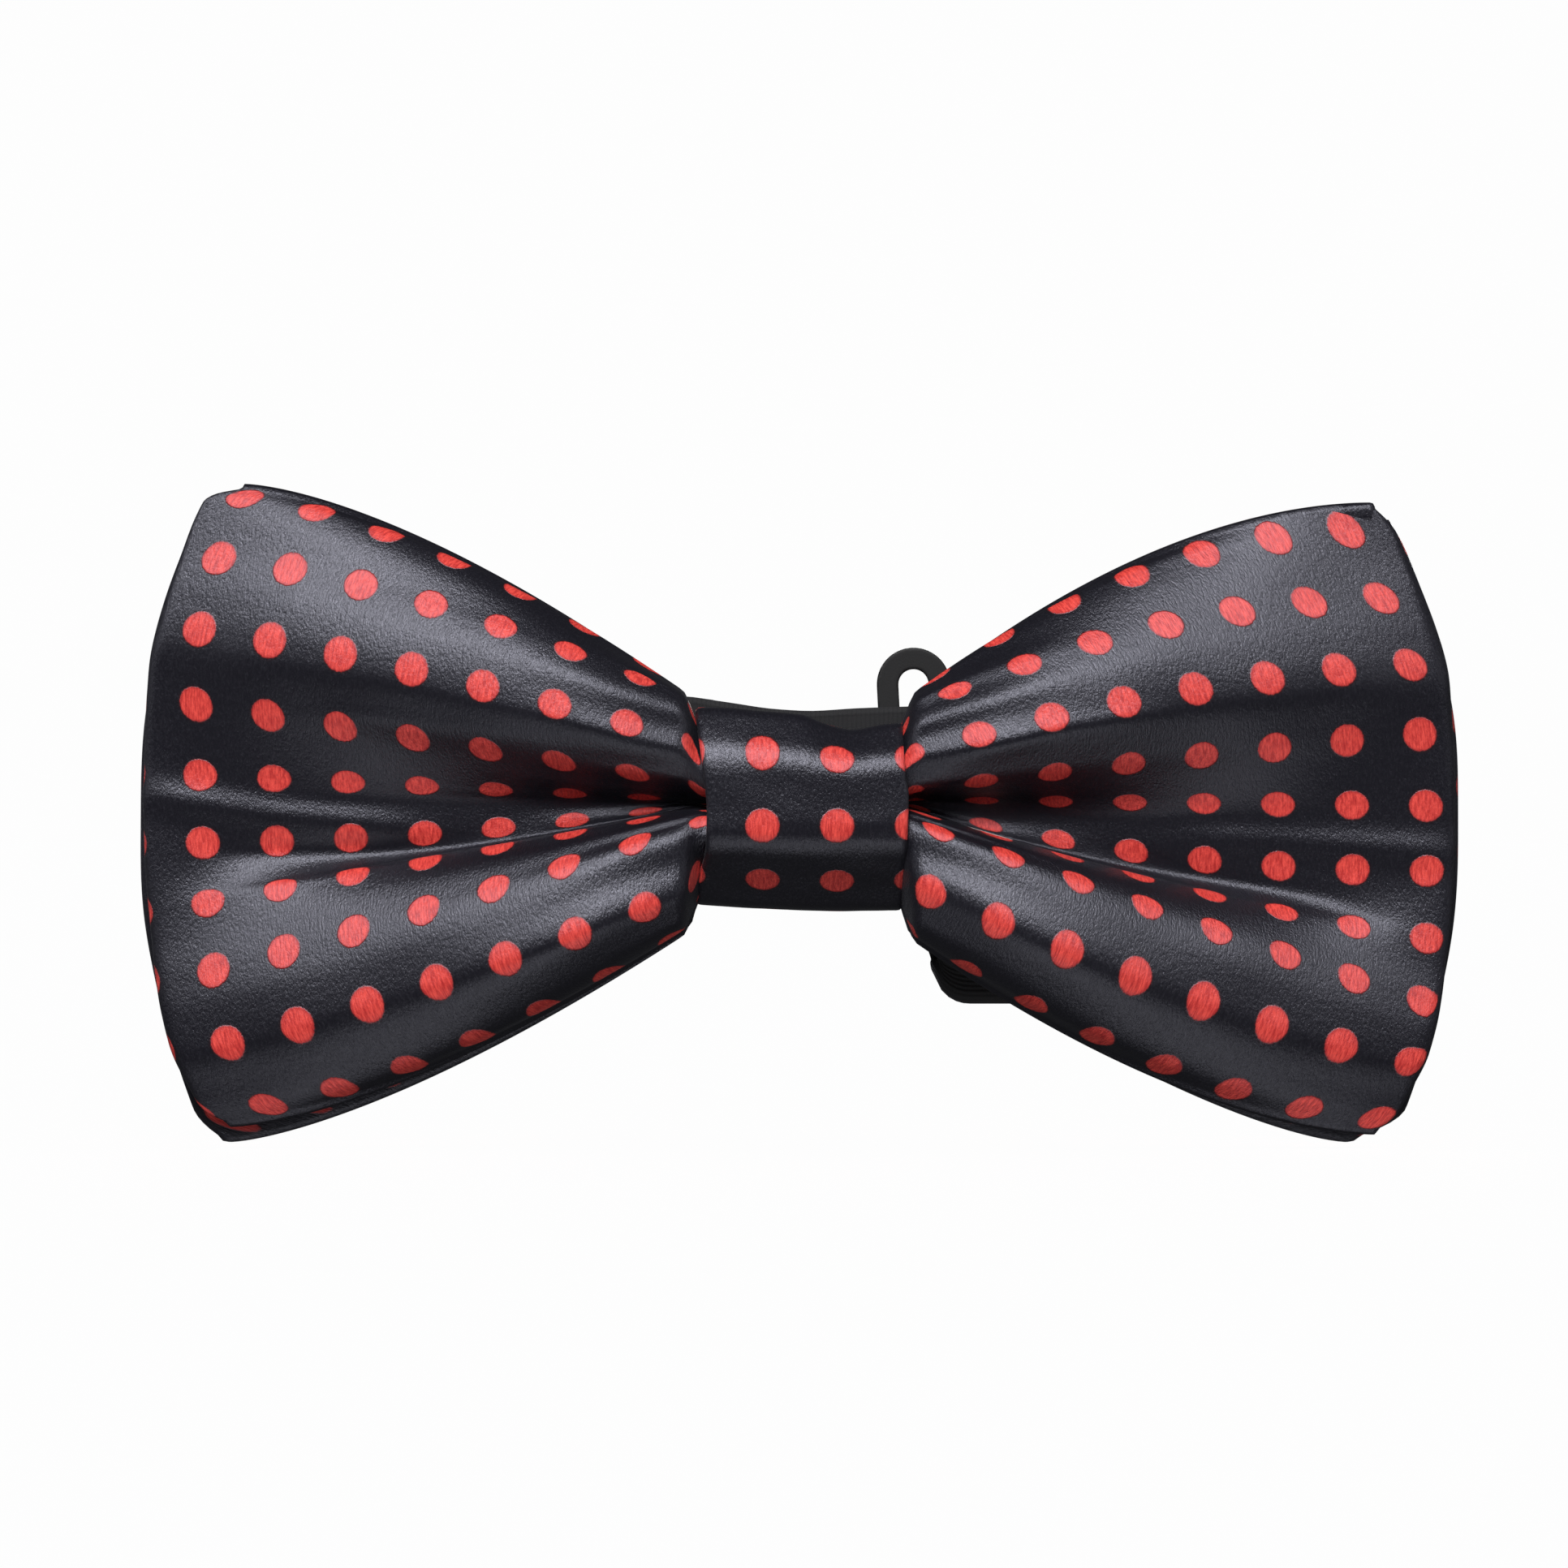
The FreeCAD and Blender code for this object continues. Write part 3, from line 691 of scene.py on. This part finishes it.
def weld(piece, distance):
    """Join vertices that lie within a distance, in millimetres."""
    with editing(piece) as mesh:
        bmesh.ops.remove_doubles(mesh, verts=mesh.verts, dist=distance * MM)


def face_outwards(piece):
    """Turn every face of a hollow piece outwards: the foremost one has to look to the front."""
    with editing(piece) as mesh:
        bmesh.ops.recalc_face_normals(mesh, faces=mesh.faces)
        foremost = min(mesh.faces, key=lambda face: face.calc_center_median().y)
        if foremost.normal.y > 0:
            bmesh.ops.reverse_faces(mesh, faces=mesh.faces)


def inner_sheet(name, wings, seed):
    """The interlining behind the outer ply of a bow, from wing to wing, narrower than the cloth."""
    across = np.linspace(-LINING_HALF, LINING_HALF, 80)
    share = np.linspace(0, 0.955, 80)
    halves = []
    for side, wing in wings.items():
        toward = wing["toward"]
        points = ply_points(
            wing["outer"], wing["other"], share, across, REACH, toward, seed + side, wing["gather"]
        )
        depth = points[:, :, 1] * toward
        for shift in range(1, 5):
            near = np.maximum(np.roll(depth, shift, 1), np.roll(depth, -shift, 1))
            near[:, :shift], near[:, -shift:] = depth[:, :shift], depth[:, -shift:]
            depth = np.maximum(depth, near) if shift < 3 else (depth + near) / 2
        points[:, :, 1] = depth * toward + 0.55 * toward
        points[:, :, 0] *= side
        halves.append(grid_mesh(f"{name}_{side}", points))
    sheet = join(halves, name)
    weld(sheet, 0.02)
    thicken(sheet, LINING_SHEET, 0.0)
    return sheet


def make_bows():
    """The front and the rear bow, each with the stiff sheet that lines its outer ply."""
    front_wings = {
        1: {"outer": FRONT_RIGHT, "other": FRONT_LEFT, "inner": FRONT_BACK_PLY, "toward": 1,
            "gather": 0.13, "folds": RIGHT_FOLDS, "corners": (1.2, 0.8), "first_dot": (3.7, -0.038)},
        -1: {"outer": FRONT_LEFT, "other": FRONT_RIGHT, "inner": FRONT_BACK_PLY, "toward": 1,
             "gather": 0.13, "folds": LEFT_FOLDS, "corners": (2.6, 1.4), "first_dot": (5.8, 0.032)},
    }
    rear_wing = {"outer": REAR_BACK_PLY, "other": REAR_BACK_PLY, "inner": REAR_FRONT_PLY, "toward": -1,
                 "gather": 0.95, "folds": (), "corners": (0.3, 3.6), "first_dot": (1.0, 0.05)}
    rear_wings = {1: rear_wing, -1: rear_wing | {"first_dot": (3.0, 0.03), "corners": (2.0, 1.6)}}
    front = bow_loop("front_bow_cloth", front_wings, REACH, 11)
    dress(front, SATIN, "bow", "satin", "front_bow")
    rear = bow_loop("rear_bow_cloth", rear_wings, REACH + 0.3, 23, rows=70, columns=120)
    dress(rear, SATIN, "bow", "satin", "rear_bow")
    lining = inner_sheet("front_bow_lining", front_wings, 11)
    dress(lining, FELT, "bow", "interlining", "front_bow_interlining")
    rear_lining = inner_sheet("rear_bow_lining", rear_wings, 23)
    dress(rear_lining, FELT, "bow", "interlining", "rear_bow_interlining")
    return front, rear, lining, rear_lining


front_bow, rear_bow, front_lining, rear_lining = make_bows()


# -------------------- the knot


def rounded_path(corners, closed, step=0.35):
    """Points along a polygon whose third numbers are corner radii, their tangents and the run so far."""
    corners = [np.array(corner, float) for corner in corners]
    count = len(corners)
    points = []
    for index, corner in enumerate(corners):
        place, radius = corner[:2], corner[2]
        if not closed and index in (0, count - 1):
            points.append(place)
            continue
        before = corners[index - 1][:2] - place
        after = corners[(index + 1) % count][:2] - place
        before /= np.linalg.norm(before)
        after /= np.linalg.norm(after)
        half = math.acos(np.clip(before @ after, -1, 1)) / 2
        middle = (before + after) / np.linalg.norm(before + after)
        centre = place + middle * radius / math.sin(half)
        start = place + before * radius / math.tan(half)
        end = place + after * radius / math.tan(half)
        steps = max(int(radius * (math.pi - 2 * half) / (step * 0.6)), 4)
        first, last = start - centre, end - centre
        sweep = math.atan2(first[0] * last[1] - first[1] * last[0], first @ last)
        for number in range(steps + 1):
            angle = sweep * number / steps
            turned = np.array([
                first[0] * math.cos(angle) - first[1] * math.sin(angle),
                first[0] * math.sin(angle) + first[1] * math.cos(angle),
            ])
            points.append(centre + turned)
    rough = np.array(points + [points[0]] if closed else points)
    run = np.concatenate([[0], np.cumsum(np.linalg.norm(np.diff(rough, axis=0), axis=1))])
    keep = np.concatenate([[True], np.diff(run) > 1e-6])
    rough, run = rough[keep], run[keep]
    even = np.linspace(0, run[-1], int(run[-1] / step) + 1)
    points = np.stack([np.interp(even, run, rough[:, axis]) for axis in (0, 1)], 1)
    if closed:
        points, even = points[:-1], even[:-1]
        tangent = np.roll(points, -1, 0) - np.roll(points, 1, 0)
    else:
        tangent = np.gradient(points, axis=0)
    tangent /= np.linalg.norm(tangent, axis=1, keepdims=True)
    return points, tangent, even


# The knot from the front: its top edge's height across it, and its half widths from the bottom up.
KNOT_TOP = ((-10.0, 9.75), (-9.0, 9.75), (-3.4, 9.2), (0.2, 8.85), (2.7, 7.97), (4.75, 7.6), (7.45, 8.1),
            (10.0, 8.5))
KNOT_LEFT = ((-9.5, 9.2), (-6.8, 8.8), (-3.3, 8.05), (0.0, 7.95), (4.5, 8.4), (9.0, 9.1))
KNOT_RIGHT = ((-9.5, 8.9), (-6.8, 9.05), (-2.3, 9.35), (1.8, 9.45), (3.3, 9.2), (7.9, 8.95))


def curve_through(knots, at):
    """A smooth curve through pairs of numbers, level beyond its ends."""
    knots = np.array(knots)
    inside = np.clip(at, knots[0, 0], knots[-1, 0])
    return flowing(knots[:, 0], knots[:, 1:], inside.ravel())[:, 0].reshape(np.shape(at))


def knot_section(inset):
    """The knot's outline from the side: flat in front, leaning back above and below."""
    front, back = KNOT_LOW[1] + inset, KNOT_HIGH[1] - 0.06 - inset
    top, bottom = KNOT_HIGH[2] - inset, KNOT_LOW[2] + inset
    return (
        (back, top, 1.0),
        (back, bottom, 1.0),
        (front + 7.4, bottom, 3.0),
        (front, -2.6, 4.4),
        (front + 0.2, 5.0, 5.0),
        (front + 3.1, top, 1.3),
    )


def knot_band(name, inset, narrower, hem):
    """A band of cloth round the knot, with its side edges turned in."""
    section, tangent, run = rounded_path(knot_section(inset), True)
    outward = np.stack([tangent[:, 1], -tangent[:, 0]], 1)
    if outward[np.argmin(section[:, 0]), 0] > 0:
        outward = -outward
    hem_share = 0.35
    laid = np.linspace(-1, 1, 61) * (1 + hem_share)
    flat = np.clip(laid, -1, 1)
    past = np.clip(np.abs(laid) - 1, 0, None) / hem_share * hem
    beyond, behind = hem_turn(past)
    half_left = curve_through(KNOT_LEFT, section[:, 1]) - narrower
    half_right = curve_through(KNOT_RIGHT, section[:, 1]) - narrower
    half = np.where(flat[None, :] < 0, half_left[:, None], half_right[:, None])
    x = flat[None, :] * half + np.sign(laid) * beyond
    crown = 0.25 * (1 - flat ** 2) - 0.1
    fading = (1 - ramp(section[:, 1:], 2, 6)) * (section[:, :1] < KNOT_LOW[1] + 7)
    crease = 0.08 * ramp(section[:, 1:] + 0.06 * x, -2.0, -1.3) * fading
    gather = 0.07 * soft_noise(x * 0.35, run[:, None] + 0 * x, 41, 5.0) * ramp(np.abs(x), 2, 9)
    gather += 0.05 * soft_noise(x, run[:, None] + 0 * x, 42, 7.0)
    lift = (crown - behind)[None, :] - crease + gather
    y = section[:, :1] + outward[:, :1] * lift
    z = section[:, 1:] + outward[:, 1:] * lift
    top = curve_through(KNOT_TOP, x) / KNOT_HIGH[2]
    z = np.where(z > 0, z * (1 + (top - 1) * ramp(z, 0, KNOT_HIGH[2])), z - 0.03 * x * ramp(-z, 2, 8))
    front = np.argmin(np.abs(section[:, 1] + 1.0) + (section[:, 0] > KNOT_LOW[1] + 3) * 100)
    across = np.sign(laid) * past + flat[None, :] * half
    uv = np.stack([(across + 3.35) / PITCH_ALONG, (run[:, None] - run[front] + 0 * x) / PITCH], -1)
    band = grid_mesh(name, np.stack([x, y, z], -1), uv, wrap_u=True)
    face_outwards(band)
    return band


def tube(name, path, radius, sides=8):
    """A round thread along a path of points."""
    path = np.asarray(path, float)
    tangent = np.gradient(path, axis=0)
    tangent /= np.linalg.norm(tangent, axis=1, keepdims=True)
    guide = np.array([1.0, 0.13, 0.07]) if abs(tangent[0][0]) < 0.8 else np.array([0.05, 0.1, 1.0])
    first = np.cross(tangent, guide)
    first /= np.linalg.norm(first, axis=1, keepdims=True)
    second = np.cross(tangent, first)
    angle = np.linspace(0, math.tau, sides, endpoint=False)[:, None]
    reach = np.broadcast_to(radius, (len(path),))[:, None, None]
    ring = path[:, None] + reach * (first[:, None] * np.cos(angle) + second[:, None] * np.sin(angle))
    thread_piece = grid_mesh(name, ring, wrap_v=True)
    with editing(thread_piece) as mesh:
        bmesh.ops.holes_fill(mesh, edges=[edge for edge in mesh.edges if edge.is_boundary])
        bmesh.ops.recalc_face_normals(mesh, faces=mesh.faces)
    return thread_piece


def stitch(name, start, end, proud, thickness=0.15):
    """One hand stitch: a short thread that bows out between two needle holes."""
    start, end, proud = (np.array(value, float) for value in (start, end, proud))
    share = np.linspace(0, 1, 11)[:, None]
    path = start + (end - start) * share + proud * (np.sin(math.pi * share) ** 0.6 - 0.45)
    slim = thickness * (0.72 + 0.28 * np.sin(math.pi * share[:, 0]))
    return tube(name, path, slim)


def make_knot():
    """The knot's cloth and lining, the thread bound round the middle and the hand stitches."""
    wrap = knot_band("knot_cloth", 0.0, 0.0, KNOT_HEM)
    thicken(wrap, CLOTH)
    dress(wrap, SATIN, "bow", "satin", "knot_wrap")
    lining = knot_band("knot_lining", 1.25, 1.6, 0.0)
    thicken(lining, KNOT_LINING_SHEET)
    dress(lining, FELT, "bow", "interlining", "knot_interlining")
    low, high = cad_box("centre_binding")
    middle, half = (low + high) / 2, (high - low) / 2
    turns, radius = BINDING_TURNS, BINDING_THREAD
    angle = np.linspace(0, math.tau * turns, turns * 40)
    squared = np.stack([np.cos(angle), np.sin(angle)], 1)
    squared = np.sign(squared) * np.abs(squared) ** 0.6
    slack = 0.12 * np.sin(angle * 0.37 + 1.0)
    path = np.stack([
        low[0] + radius + (high[0] - low[0] - 2 * radius) * angle / angle[-1] + slack,
        middle[1] + squared[:, 0] * (half[1] - radius),
        middle[2] + squared[:, 1] * (half[2] - radius),
    ], 1)
    path[:, 1] = np.maximum(path[:, 1], behind_knot(path[:, 2], 1.9, -2.0, 4.0))
    binding = tube("centre_binding_thread", path, radius)
    dress(binding, THREAD, "bow", "thread", "centre_binding")
    low, high = cad_box("knot_stitches")
    pitch = (high[2] - low[2] - 0.24) / (KNOT_STITCHES - 1)
    random = np.random.default_rng(5)
    threads = []
    for index in range(KNOT_STITCHES):
        z = low[2] + 0.12 + index * pitch
        slip = random.uniform(-0.14, 0.14, 3)
        threads.append(stitch(
            f"stitch_{index}", (low[0] + slip[0], low[1], z - 0.4 + slip[1]),
            (high[0] + slip[2], low[1], z + 0.4 + slip[1]), (0, 0.24, 0),
        ))
    stitches = join(threads, "knot_hand_stitches")
    dress(stitches, THREAD, "bow", "thread", "knot_stitches")
    return wrap, lining


knot_cloth, knot_lining = make_knot()


# -------------------- the neck strap

# How far back each run of the strap lies, and where the runs turn back, from left to right.
LAYERS = {"hook": 3.85, "third": 2.15, "second": 1.35, "first": 0.55, "knot": -1.9, "back": -0.45,
          "drop": 0.35, "rise": 2.25}
STRAP_MIDDLE = (RETURN_LOW[2] + RETURN_HIGH[2]) / 2
RETURN_DEPTH = (RETURN_LOW[1] + RETURN_HIGH[1]) / 2
HOOK_X = HOOK_PIVOT[0]
FOLD_LEFT, FOLD_RIGHT, FOLD_MID, FOLD_SHORT = -50.0, 44.0, 11.0, -9.0
DROP_MIDDLE = 17.7
DROP_FOLD = STRAP_LOW[2] + 1.2
EYE_X, EYE_Z = EYE_PIVOT[0], EYE_PIVOT[2]
LEAN = math.atan2(JOINTS["eye_swing"]["axis"][2], JOINTS["eye_swing"]["axis"][0])


def strap_folds():
    """The strap's folds from the hook to the eye: place along it, slant, radius, turn and side."""
    folds, place = [], 0.0

    def fold(radius, side, turn=math.pi, slant=0.0):
        nonlocal place
        folds.append((place, slant, radius, turn, side))
        place += radius * turn if not slant else 0

    def between(first, second):
        return abs(LAYERS[first] - LAYERS[second]) / 2

    fold((RETURN_DEPTH - LAYERS["hook"]) / 2, -1)
    place += FOLD_SHORT - HOOK_X
    fold(between("hook", "third"), 1)
    place += FOLD_SHORT - FOLD_LEFT
    fold(between("third", "second"), -1)
    place += FOLD_MID - FOLD_LEFT
    fold(between("second", "first"), 1)
    place += FOLD_MID - FOLD_LEFT
    fold(between("first", "knot"), -1)
    place += FOLD_RIGHT - FOLD_LEFT
    fold(between("knot", "back"), -1)
    corner = between("back", "drop")
    shift = math.pi * corner * math.sqrt(0.5)
    place += FOLD_RIGHT - DROP_MIDDLE - shift
    fold(corner, 1, slant=math.pi / 4)
    place += STRAP_MIDDLE + shift - DROP_FOLD
    fold(between("drop", "rise"), -1)
    place += EYE_Z - DROP_FOLD
    sleeve, lean_in = EYE_PIVOT[1] - LAYERS["rise"], math.pi / 3
    fold(sleeve, 1, math.pi + lean_in)
    ease, tail_depth = 0.6, LAYERS["rise"] + RIBBON
    gap = EYE_PIVOT[1] + sleeve * math.cos(lean_in) - tail_depth
    place += (gap - ease * (1 - math.cos(lean_in))) / math.sin(lean_in)
    fold(ease, -1, lean_in)
    return folds, place + EYE_TAIL


def fold_strip(along, across, folds):
    """Fold a flat strip along each line in turn without stretching it, from its far end back."""
    point = np.stack([along, across, np.zeros_like(along)], -1)
    for place, slant, radius, turn, side in reversed(folds):
        cosine, sine = math.cos(slant), math.sin(slant)
        past = (along - place) * cosine + across * sine
        over = (point[..., 0] - place) * cosine + point[..., 1] * sine
        line = point[..., 1] * cosine - (point[..., 0] - place) * sine
        height = point[..., 2]
        angle = np.clip(past / radius, 0, turn)
        rest = np.where(past > radius * turn, over - radius * turn, 0)
        bent = (radius - side * height) * np.sin(angle) + rest * np.cos(angle)
        risen = side * (radius - (radius - side * height) * np.cos(angle) + rest * np.sin(angle))
        over = np.where(past > 0, bent, over)
        height = np.where(past > 0, risen, height)
        point = np.stack([
            place + over * cosine - line * sine, over * sine + line * cosine, height,
        ], -1)
    return point


def settle_rise(x, z):
    """Lead the rising end of the strap across to the eye and give it the eye's lean."""
    start, height = -15.5, 17.5
    share = np.clip((z - start) / height, 0, 1)
    x = x - (DROP_MIDDLE - EYE_X) * (0.5 * share + 0.5 * share * share * (3 - 2 * share))
    turn = LEAN * ramp(z, -8, 3)
    return (
        EYE_X + (x - EYE_X) * np.cos(turn) - (z - EYE_Z) * np.sin(turn),
        EYE_Z + (x - EYE_X) * np.sin(turn) + (z - EYE_Z) * np.cos(turn),
    )


# How far the strap's folded runs wander up or down, from left to right.
BAND_WAVE = ((-50.0, 0.0), (-20.0, 0.9), (-11.0, 1.0), (-7.0, 0.5), (-2.0, -0.2), (1.0, -0.35), (5.5, -0.1),
             (11.5, 0.1))


def make_strap():
    """The strap from the hook, through its folds behind the bows and under the knot, to the eye."""
    folds, length = strap_folds()
    stops = [np.arange(0, length, 1.0), [length]]
    for place, slant, radius, turn, _ in folds:
        spread = RIBBON_WIDTH / 2 * abs(math.tan(slant)) * 1.5
        stops.append(np.arange(place - spread, place + radius * turn * 1.5 + spread, max(0.12, radius / 6)))
    stops = np.unique(np.round(np.concatenate(stops), 2))
    stops = stops[(stops >= 0) & (stops <= length)]
    stops = stops[np.concatenate([[True], np.diff(stops) > 0.05])]
    across = np.linspace(-RIBBON_WIDTH / 2, RIBBON_WIDTH / 2, 17)
    along_grid, across_grid = np.meshgrid(stops, across, indexing="ij")
    strip = fold_strip(along_grid, across_grid, folds)
    x = HOOK_X - strip[..., 0]
    y = RETURN_DEPTH + strip[..., 2]
    z = STRAP_MIDDLE + strip[..., 1]
    starts = [fold[0] for fold in folds]
    knot_run = (along_grid > starts[4] + 1) & (along_grid < starts[5] + 1.5)
    lowered = ramp(x, FOLD_LEFT, FOLD_LEFT + 26) * (1 - ramp(x, FOLD_RIGHT - 28, FOLD_RIGHT))
    z = np.where(knot_run, z - KNOT_RUN_DROP * lowered, z)
    layered = (along_grid > starts[1] + 1) & (along_grid < starts[4] + 2)
    z = np.where(layered, z + curve_through(BAND_WAVE, x), z)
    corner = 3.0
    edge = np.clip(corner - (RIBBON_WIDTH / 2 - np.abs(across_grid)), 0, corner)
    lift = corner - np.sqrt(corner ** 2 - edge ** 2)
    low_fold = along_grid > starts[6] + 8
    z = np.where(low_fold, z + lift * ramp(-z, 11.5, -DROP_FOLD + 0.6), z)
    rising = along_grid > starts[7] + 0.1
    rise_x, rise_z = settle_rise(x, z)
    x, z = np.where(rising, rise_x, x), np.where(rising, rise_z, z)
    y = y + 0.045 * soft_noise(along_grid, across_grid, 61, 23) * (along_grid < starts[8] - 3)
    uv = np.stack([along_grid, across_grid + RIBBON_WIDTH / 2], -1)
    strap = grid_mesh("neck_strap_ribbon", np.stack([x, y, z], -1), uv)
    thicken(strap, RIBBON, 0.0)
    dress(strap, RIBBON_CLOTH, "bow", "ribbon", "neck_strap")
    return strap, length


def ribbon_along(name, corners):
    """A ribbon that follows a path seen from above, across the strap's full width."""
    path, _, run = rounded_path(corners, False, 0.2)
    across = np.linspace(-RIBBON_WIDTH / 2, RIBBON_WIDTH / 2, 13)
    x = np.repeat(path[:, :1], len(across), 1)
    y = np.repeat(path[:, 1:], len(across), 1)
    z = STRAP_MIDDLE + np.repeat(across[None, :], len(path), 0)
    uv = np.stack([np.repeat(run[:, None], len(across), 1), z - STRAP_MIDDLE + RIBBON_WIDTH / 2], -1)
    ribbon = grid_mesh(name, np.stack([x, y, z], -1), uv)
    thicken(ribbon, RIBBON, 0.0)
    return ribbon, run[-1]


def make_strap_end():
    """The strap's other end: the return from the hook and the loop sewn round the adjuster's bar."""
    back, front = RETURN_DEPTH, LOOP_LOW[1] + RIBBON / 2
    left, right = LOOP_LOW[0], LOOP_HIGH[0] - RIBBON / 2
    tail_depth = TAIL_FACE + RIBBON / 2
    return_end = RETURN_HIGH[0]
    straight = ((HOOK_X, back, 0), (return_end, back, 0))
    back_run, return_length = ribbon_along("strap_return_ribbon", straight)
    dress(back_run, RIBBON_CLOTH, "bow", "ribbon", "strap_return")
    stored = return_end - HOOK_X
    travel = JOINTS["adjuster_slide"]["range_m"][1] / MM
    loop, loop_length = ribbon_along("adjuster_loop_ribbon", (
        (return_end + 0.05, back, 0), (right, back, 0.7), (right, front, 0.7),
        (return_end + 0.3, front, 0.6), (return_end - 0.4, tail_depth, 0.5), (left, tail_depth, 0),
    ))
    dress(loop, RIBBON_CLOTH, "adjuster", "ribbon", "adjuster_end_loop")
    return back_run, return_length, loop, loop_length, (stored - travel) / stored


def tack_row(name, middle, place, proud):
    """A row of machine stitches at an even pitch; place turns a stop along the row into a point."""
    tacks = []
    for index in range(-TACK_REACH, TACK_REACH + 1):
        stop = middle + STITCH_PITCH * index
        start, end = place(stop - STITCH_HALF), place(stop + STITCH_HALF)
        tack = f"{name}_{index + TACK_REACH + 1}"
        tacks.append(stitch(tack, start, end, (0, proud, 0), STITCH_THREAD))
    return tacks


def make_tacks():
    """Machine stitches that hold the strap's two ends."""
    low, high = cad_box("adjuster_tack_stitches")
    middle = (low[0] + high[0]) / 2
    tacks = tack_row("adjuster_tack", STRAP_MIDDLE, lambda z: (middle, high[1], z), -0.2)
    adjuster = join(tacks, "adjuster_tack_threads")
    dress(adjuster, THREAD, "adjuster", "thread", "adjuster_tack_stitches")
    face = LAYERS["rise"] + 1.5 * RIBBON
    tacks = []
    for row, drop in enumerate(EYE_TACK_DROPS):
        def on_rise(x):
            x, z = settle_rise(x, EYE_Z - drop)
            return float(x), face, float(z)

        tacks += tack_row(f"eye_tack_{row}", DROP_MIDDLE, on_rise, 0.2)
    eye = join(tacks, "eye_tack_threads")
    dress(eye, THREAD, "bow", "thread", "eye_tack_stitches")


def moulding(name, node, body):
    """A moulded part: the designed shape with its edges and corners softly rounded."""
    source = bpy.data.objects[node]
    piece = new_object(name, source.data.copy())
    remesh = piece.modifiers.new("even_skin", "REMESH")
    remesh.mode = "VOXEL"
    remesh.voxel_size = MOULD_VOXEL * MM
    remesh.use_smooth_shade = True
    smooth = piece.modifiers.new("soft_edges", "SMOOTH")
    smooth.factor = 0.5
    smooth.iterations = 7
    apply_modifiers(piece)
    dress(piece, MOULDED, body, "hardware", node)


neck_strap, strap_length = make_strap()
strap_return, return_length, end_loop, end_loop_length, return_keep = make_strap_end()
make_tacks()
moulding("eye_moulding", "eye_loop", "eye")
moulding("hook_moulding", "hook", "hook")
moulding("adjuster_moulding", "slide_adjuster", "adjuster")
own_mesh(strap_return)


# -------------------- camera, light and floor


def make_stage():
    """A pale floor in a pale surround, and soft lights that shine on the object only."""
    pale = (0.985, 0.985, 0.985, 1)
    floor = grid_mesh(
        "floor", np.array([[[x, y, BOW_LOW[2] - 0.8] for y in (-4000, 4000)] for x in (-4000, 4000)])
    )
    n = Nodes("pale_floor")
    shader = n.add("ShaderNodeBsdfPrincipled", {
        "Base Color": (0.3, 0.3, 0.3, 1), "Roughness": 0.9, "Specular IOR Level": 0.0,
        "Emission Color": pale, "Emission Strength": 0.983,
    })
    floor.data.materials.append(n.finish(shader))
    bpy.ops.mesh.primitive_uv_sphere_add(segments=48, ring_count=24, radius=4.0)
    surround = bpy.context.object
    surround.name = "surround"
    n = Nodes("pale_surround")
    surround.data.materials.append(n.finish(n.add("ShaderNodeEmission", {"Color": pale, "Strength": 1.0})))
    for backdrop in (floor, surround):
        for ray in ("diffuse", "glossy", "transmission", "shadow"):
            setattr(backdrop, f"visible_{ray}", False)
        backdrop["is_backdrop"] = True
    world = bpy.data.worlds.new("dim_studio")
    bpy.context.scene.world = world
    world.use_nodes = True
    world.node_tree.nodes["Background"].inputs[0].default_value = (0.95, 0.96, 1, 1)
    world.node_tree.nodes["Background"].inputs[1].default_value = 0.06
    lit = {}
    for name in ("whole_object", "rear_pieces"):
        lit[name] = bpy.data.collections.new(name)
        bpy.context.scene.collection.children.link(lit[name])
    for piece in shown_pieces():
        lit["whole_object"].objects.link(piece)
        if piece not in (front_bow, knot_cloth):
            lit["rear_pieces"].objects.link(piece)
    middle = Vector((0, -0.01, 0))
    for name, place, size, power, receivers in (
        ("key_light", (-0.08, -0.62, 0.47), 0.32, 8.0, "whole_object"),
        ("floor_light", (0.0, -0.45, -0.75), 0.6, 1.7, "whole_object"),
        ("left_light", (-0.8, -0.3, 0.15), 0.4, 0.5, "whole_object"),
        ("right_light", (0.8, -0.3, 0.15), 0.4, 0.5, "whole_object"),
        ("back_light", (0.1, 0.8, 0.3), 0.6, 9.0, "rear_pieces"),
    ):
        data = bpy.data.lights.new(name, "AREA")
        data.shape = "DISK"
        data.size = size
        data.energy = power
        light = new_object(name, data)
        light.location = place
        light.rotation_mode = "QUATERNION"
        light.rotation_quaternion = (middle - Vector(place)).to_track_quat("-Z", "Y")
        light.light_linking.receiver_collection = lit[receivers]


def make_camera():
    """Straight on, from far enough away for almost parallel lines."""
    distance = 0.75
    margin = 1.189
    width = 2 * REACH * MM * margin
    data = bpy.data.cameras.new("camera")
    data.sensor_width = 36
    data.lens = data.sensor_width * distance / width
    camera = new_object("camera", data)
    centre = Vector((-0.0014, -0.010, 0.0027))
    camera.location = centre + Vector((0, -distance, 0))
    camera.rotation_euler = (math.pi / 2, 0, 0)
    data.clip_start, data.clip_end = 0.01, 20
    bpy.context.scene.camera = camera


make_camera()
make_stage()
bpy.context.scene.view_settings.view_transform = "Standard"
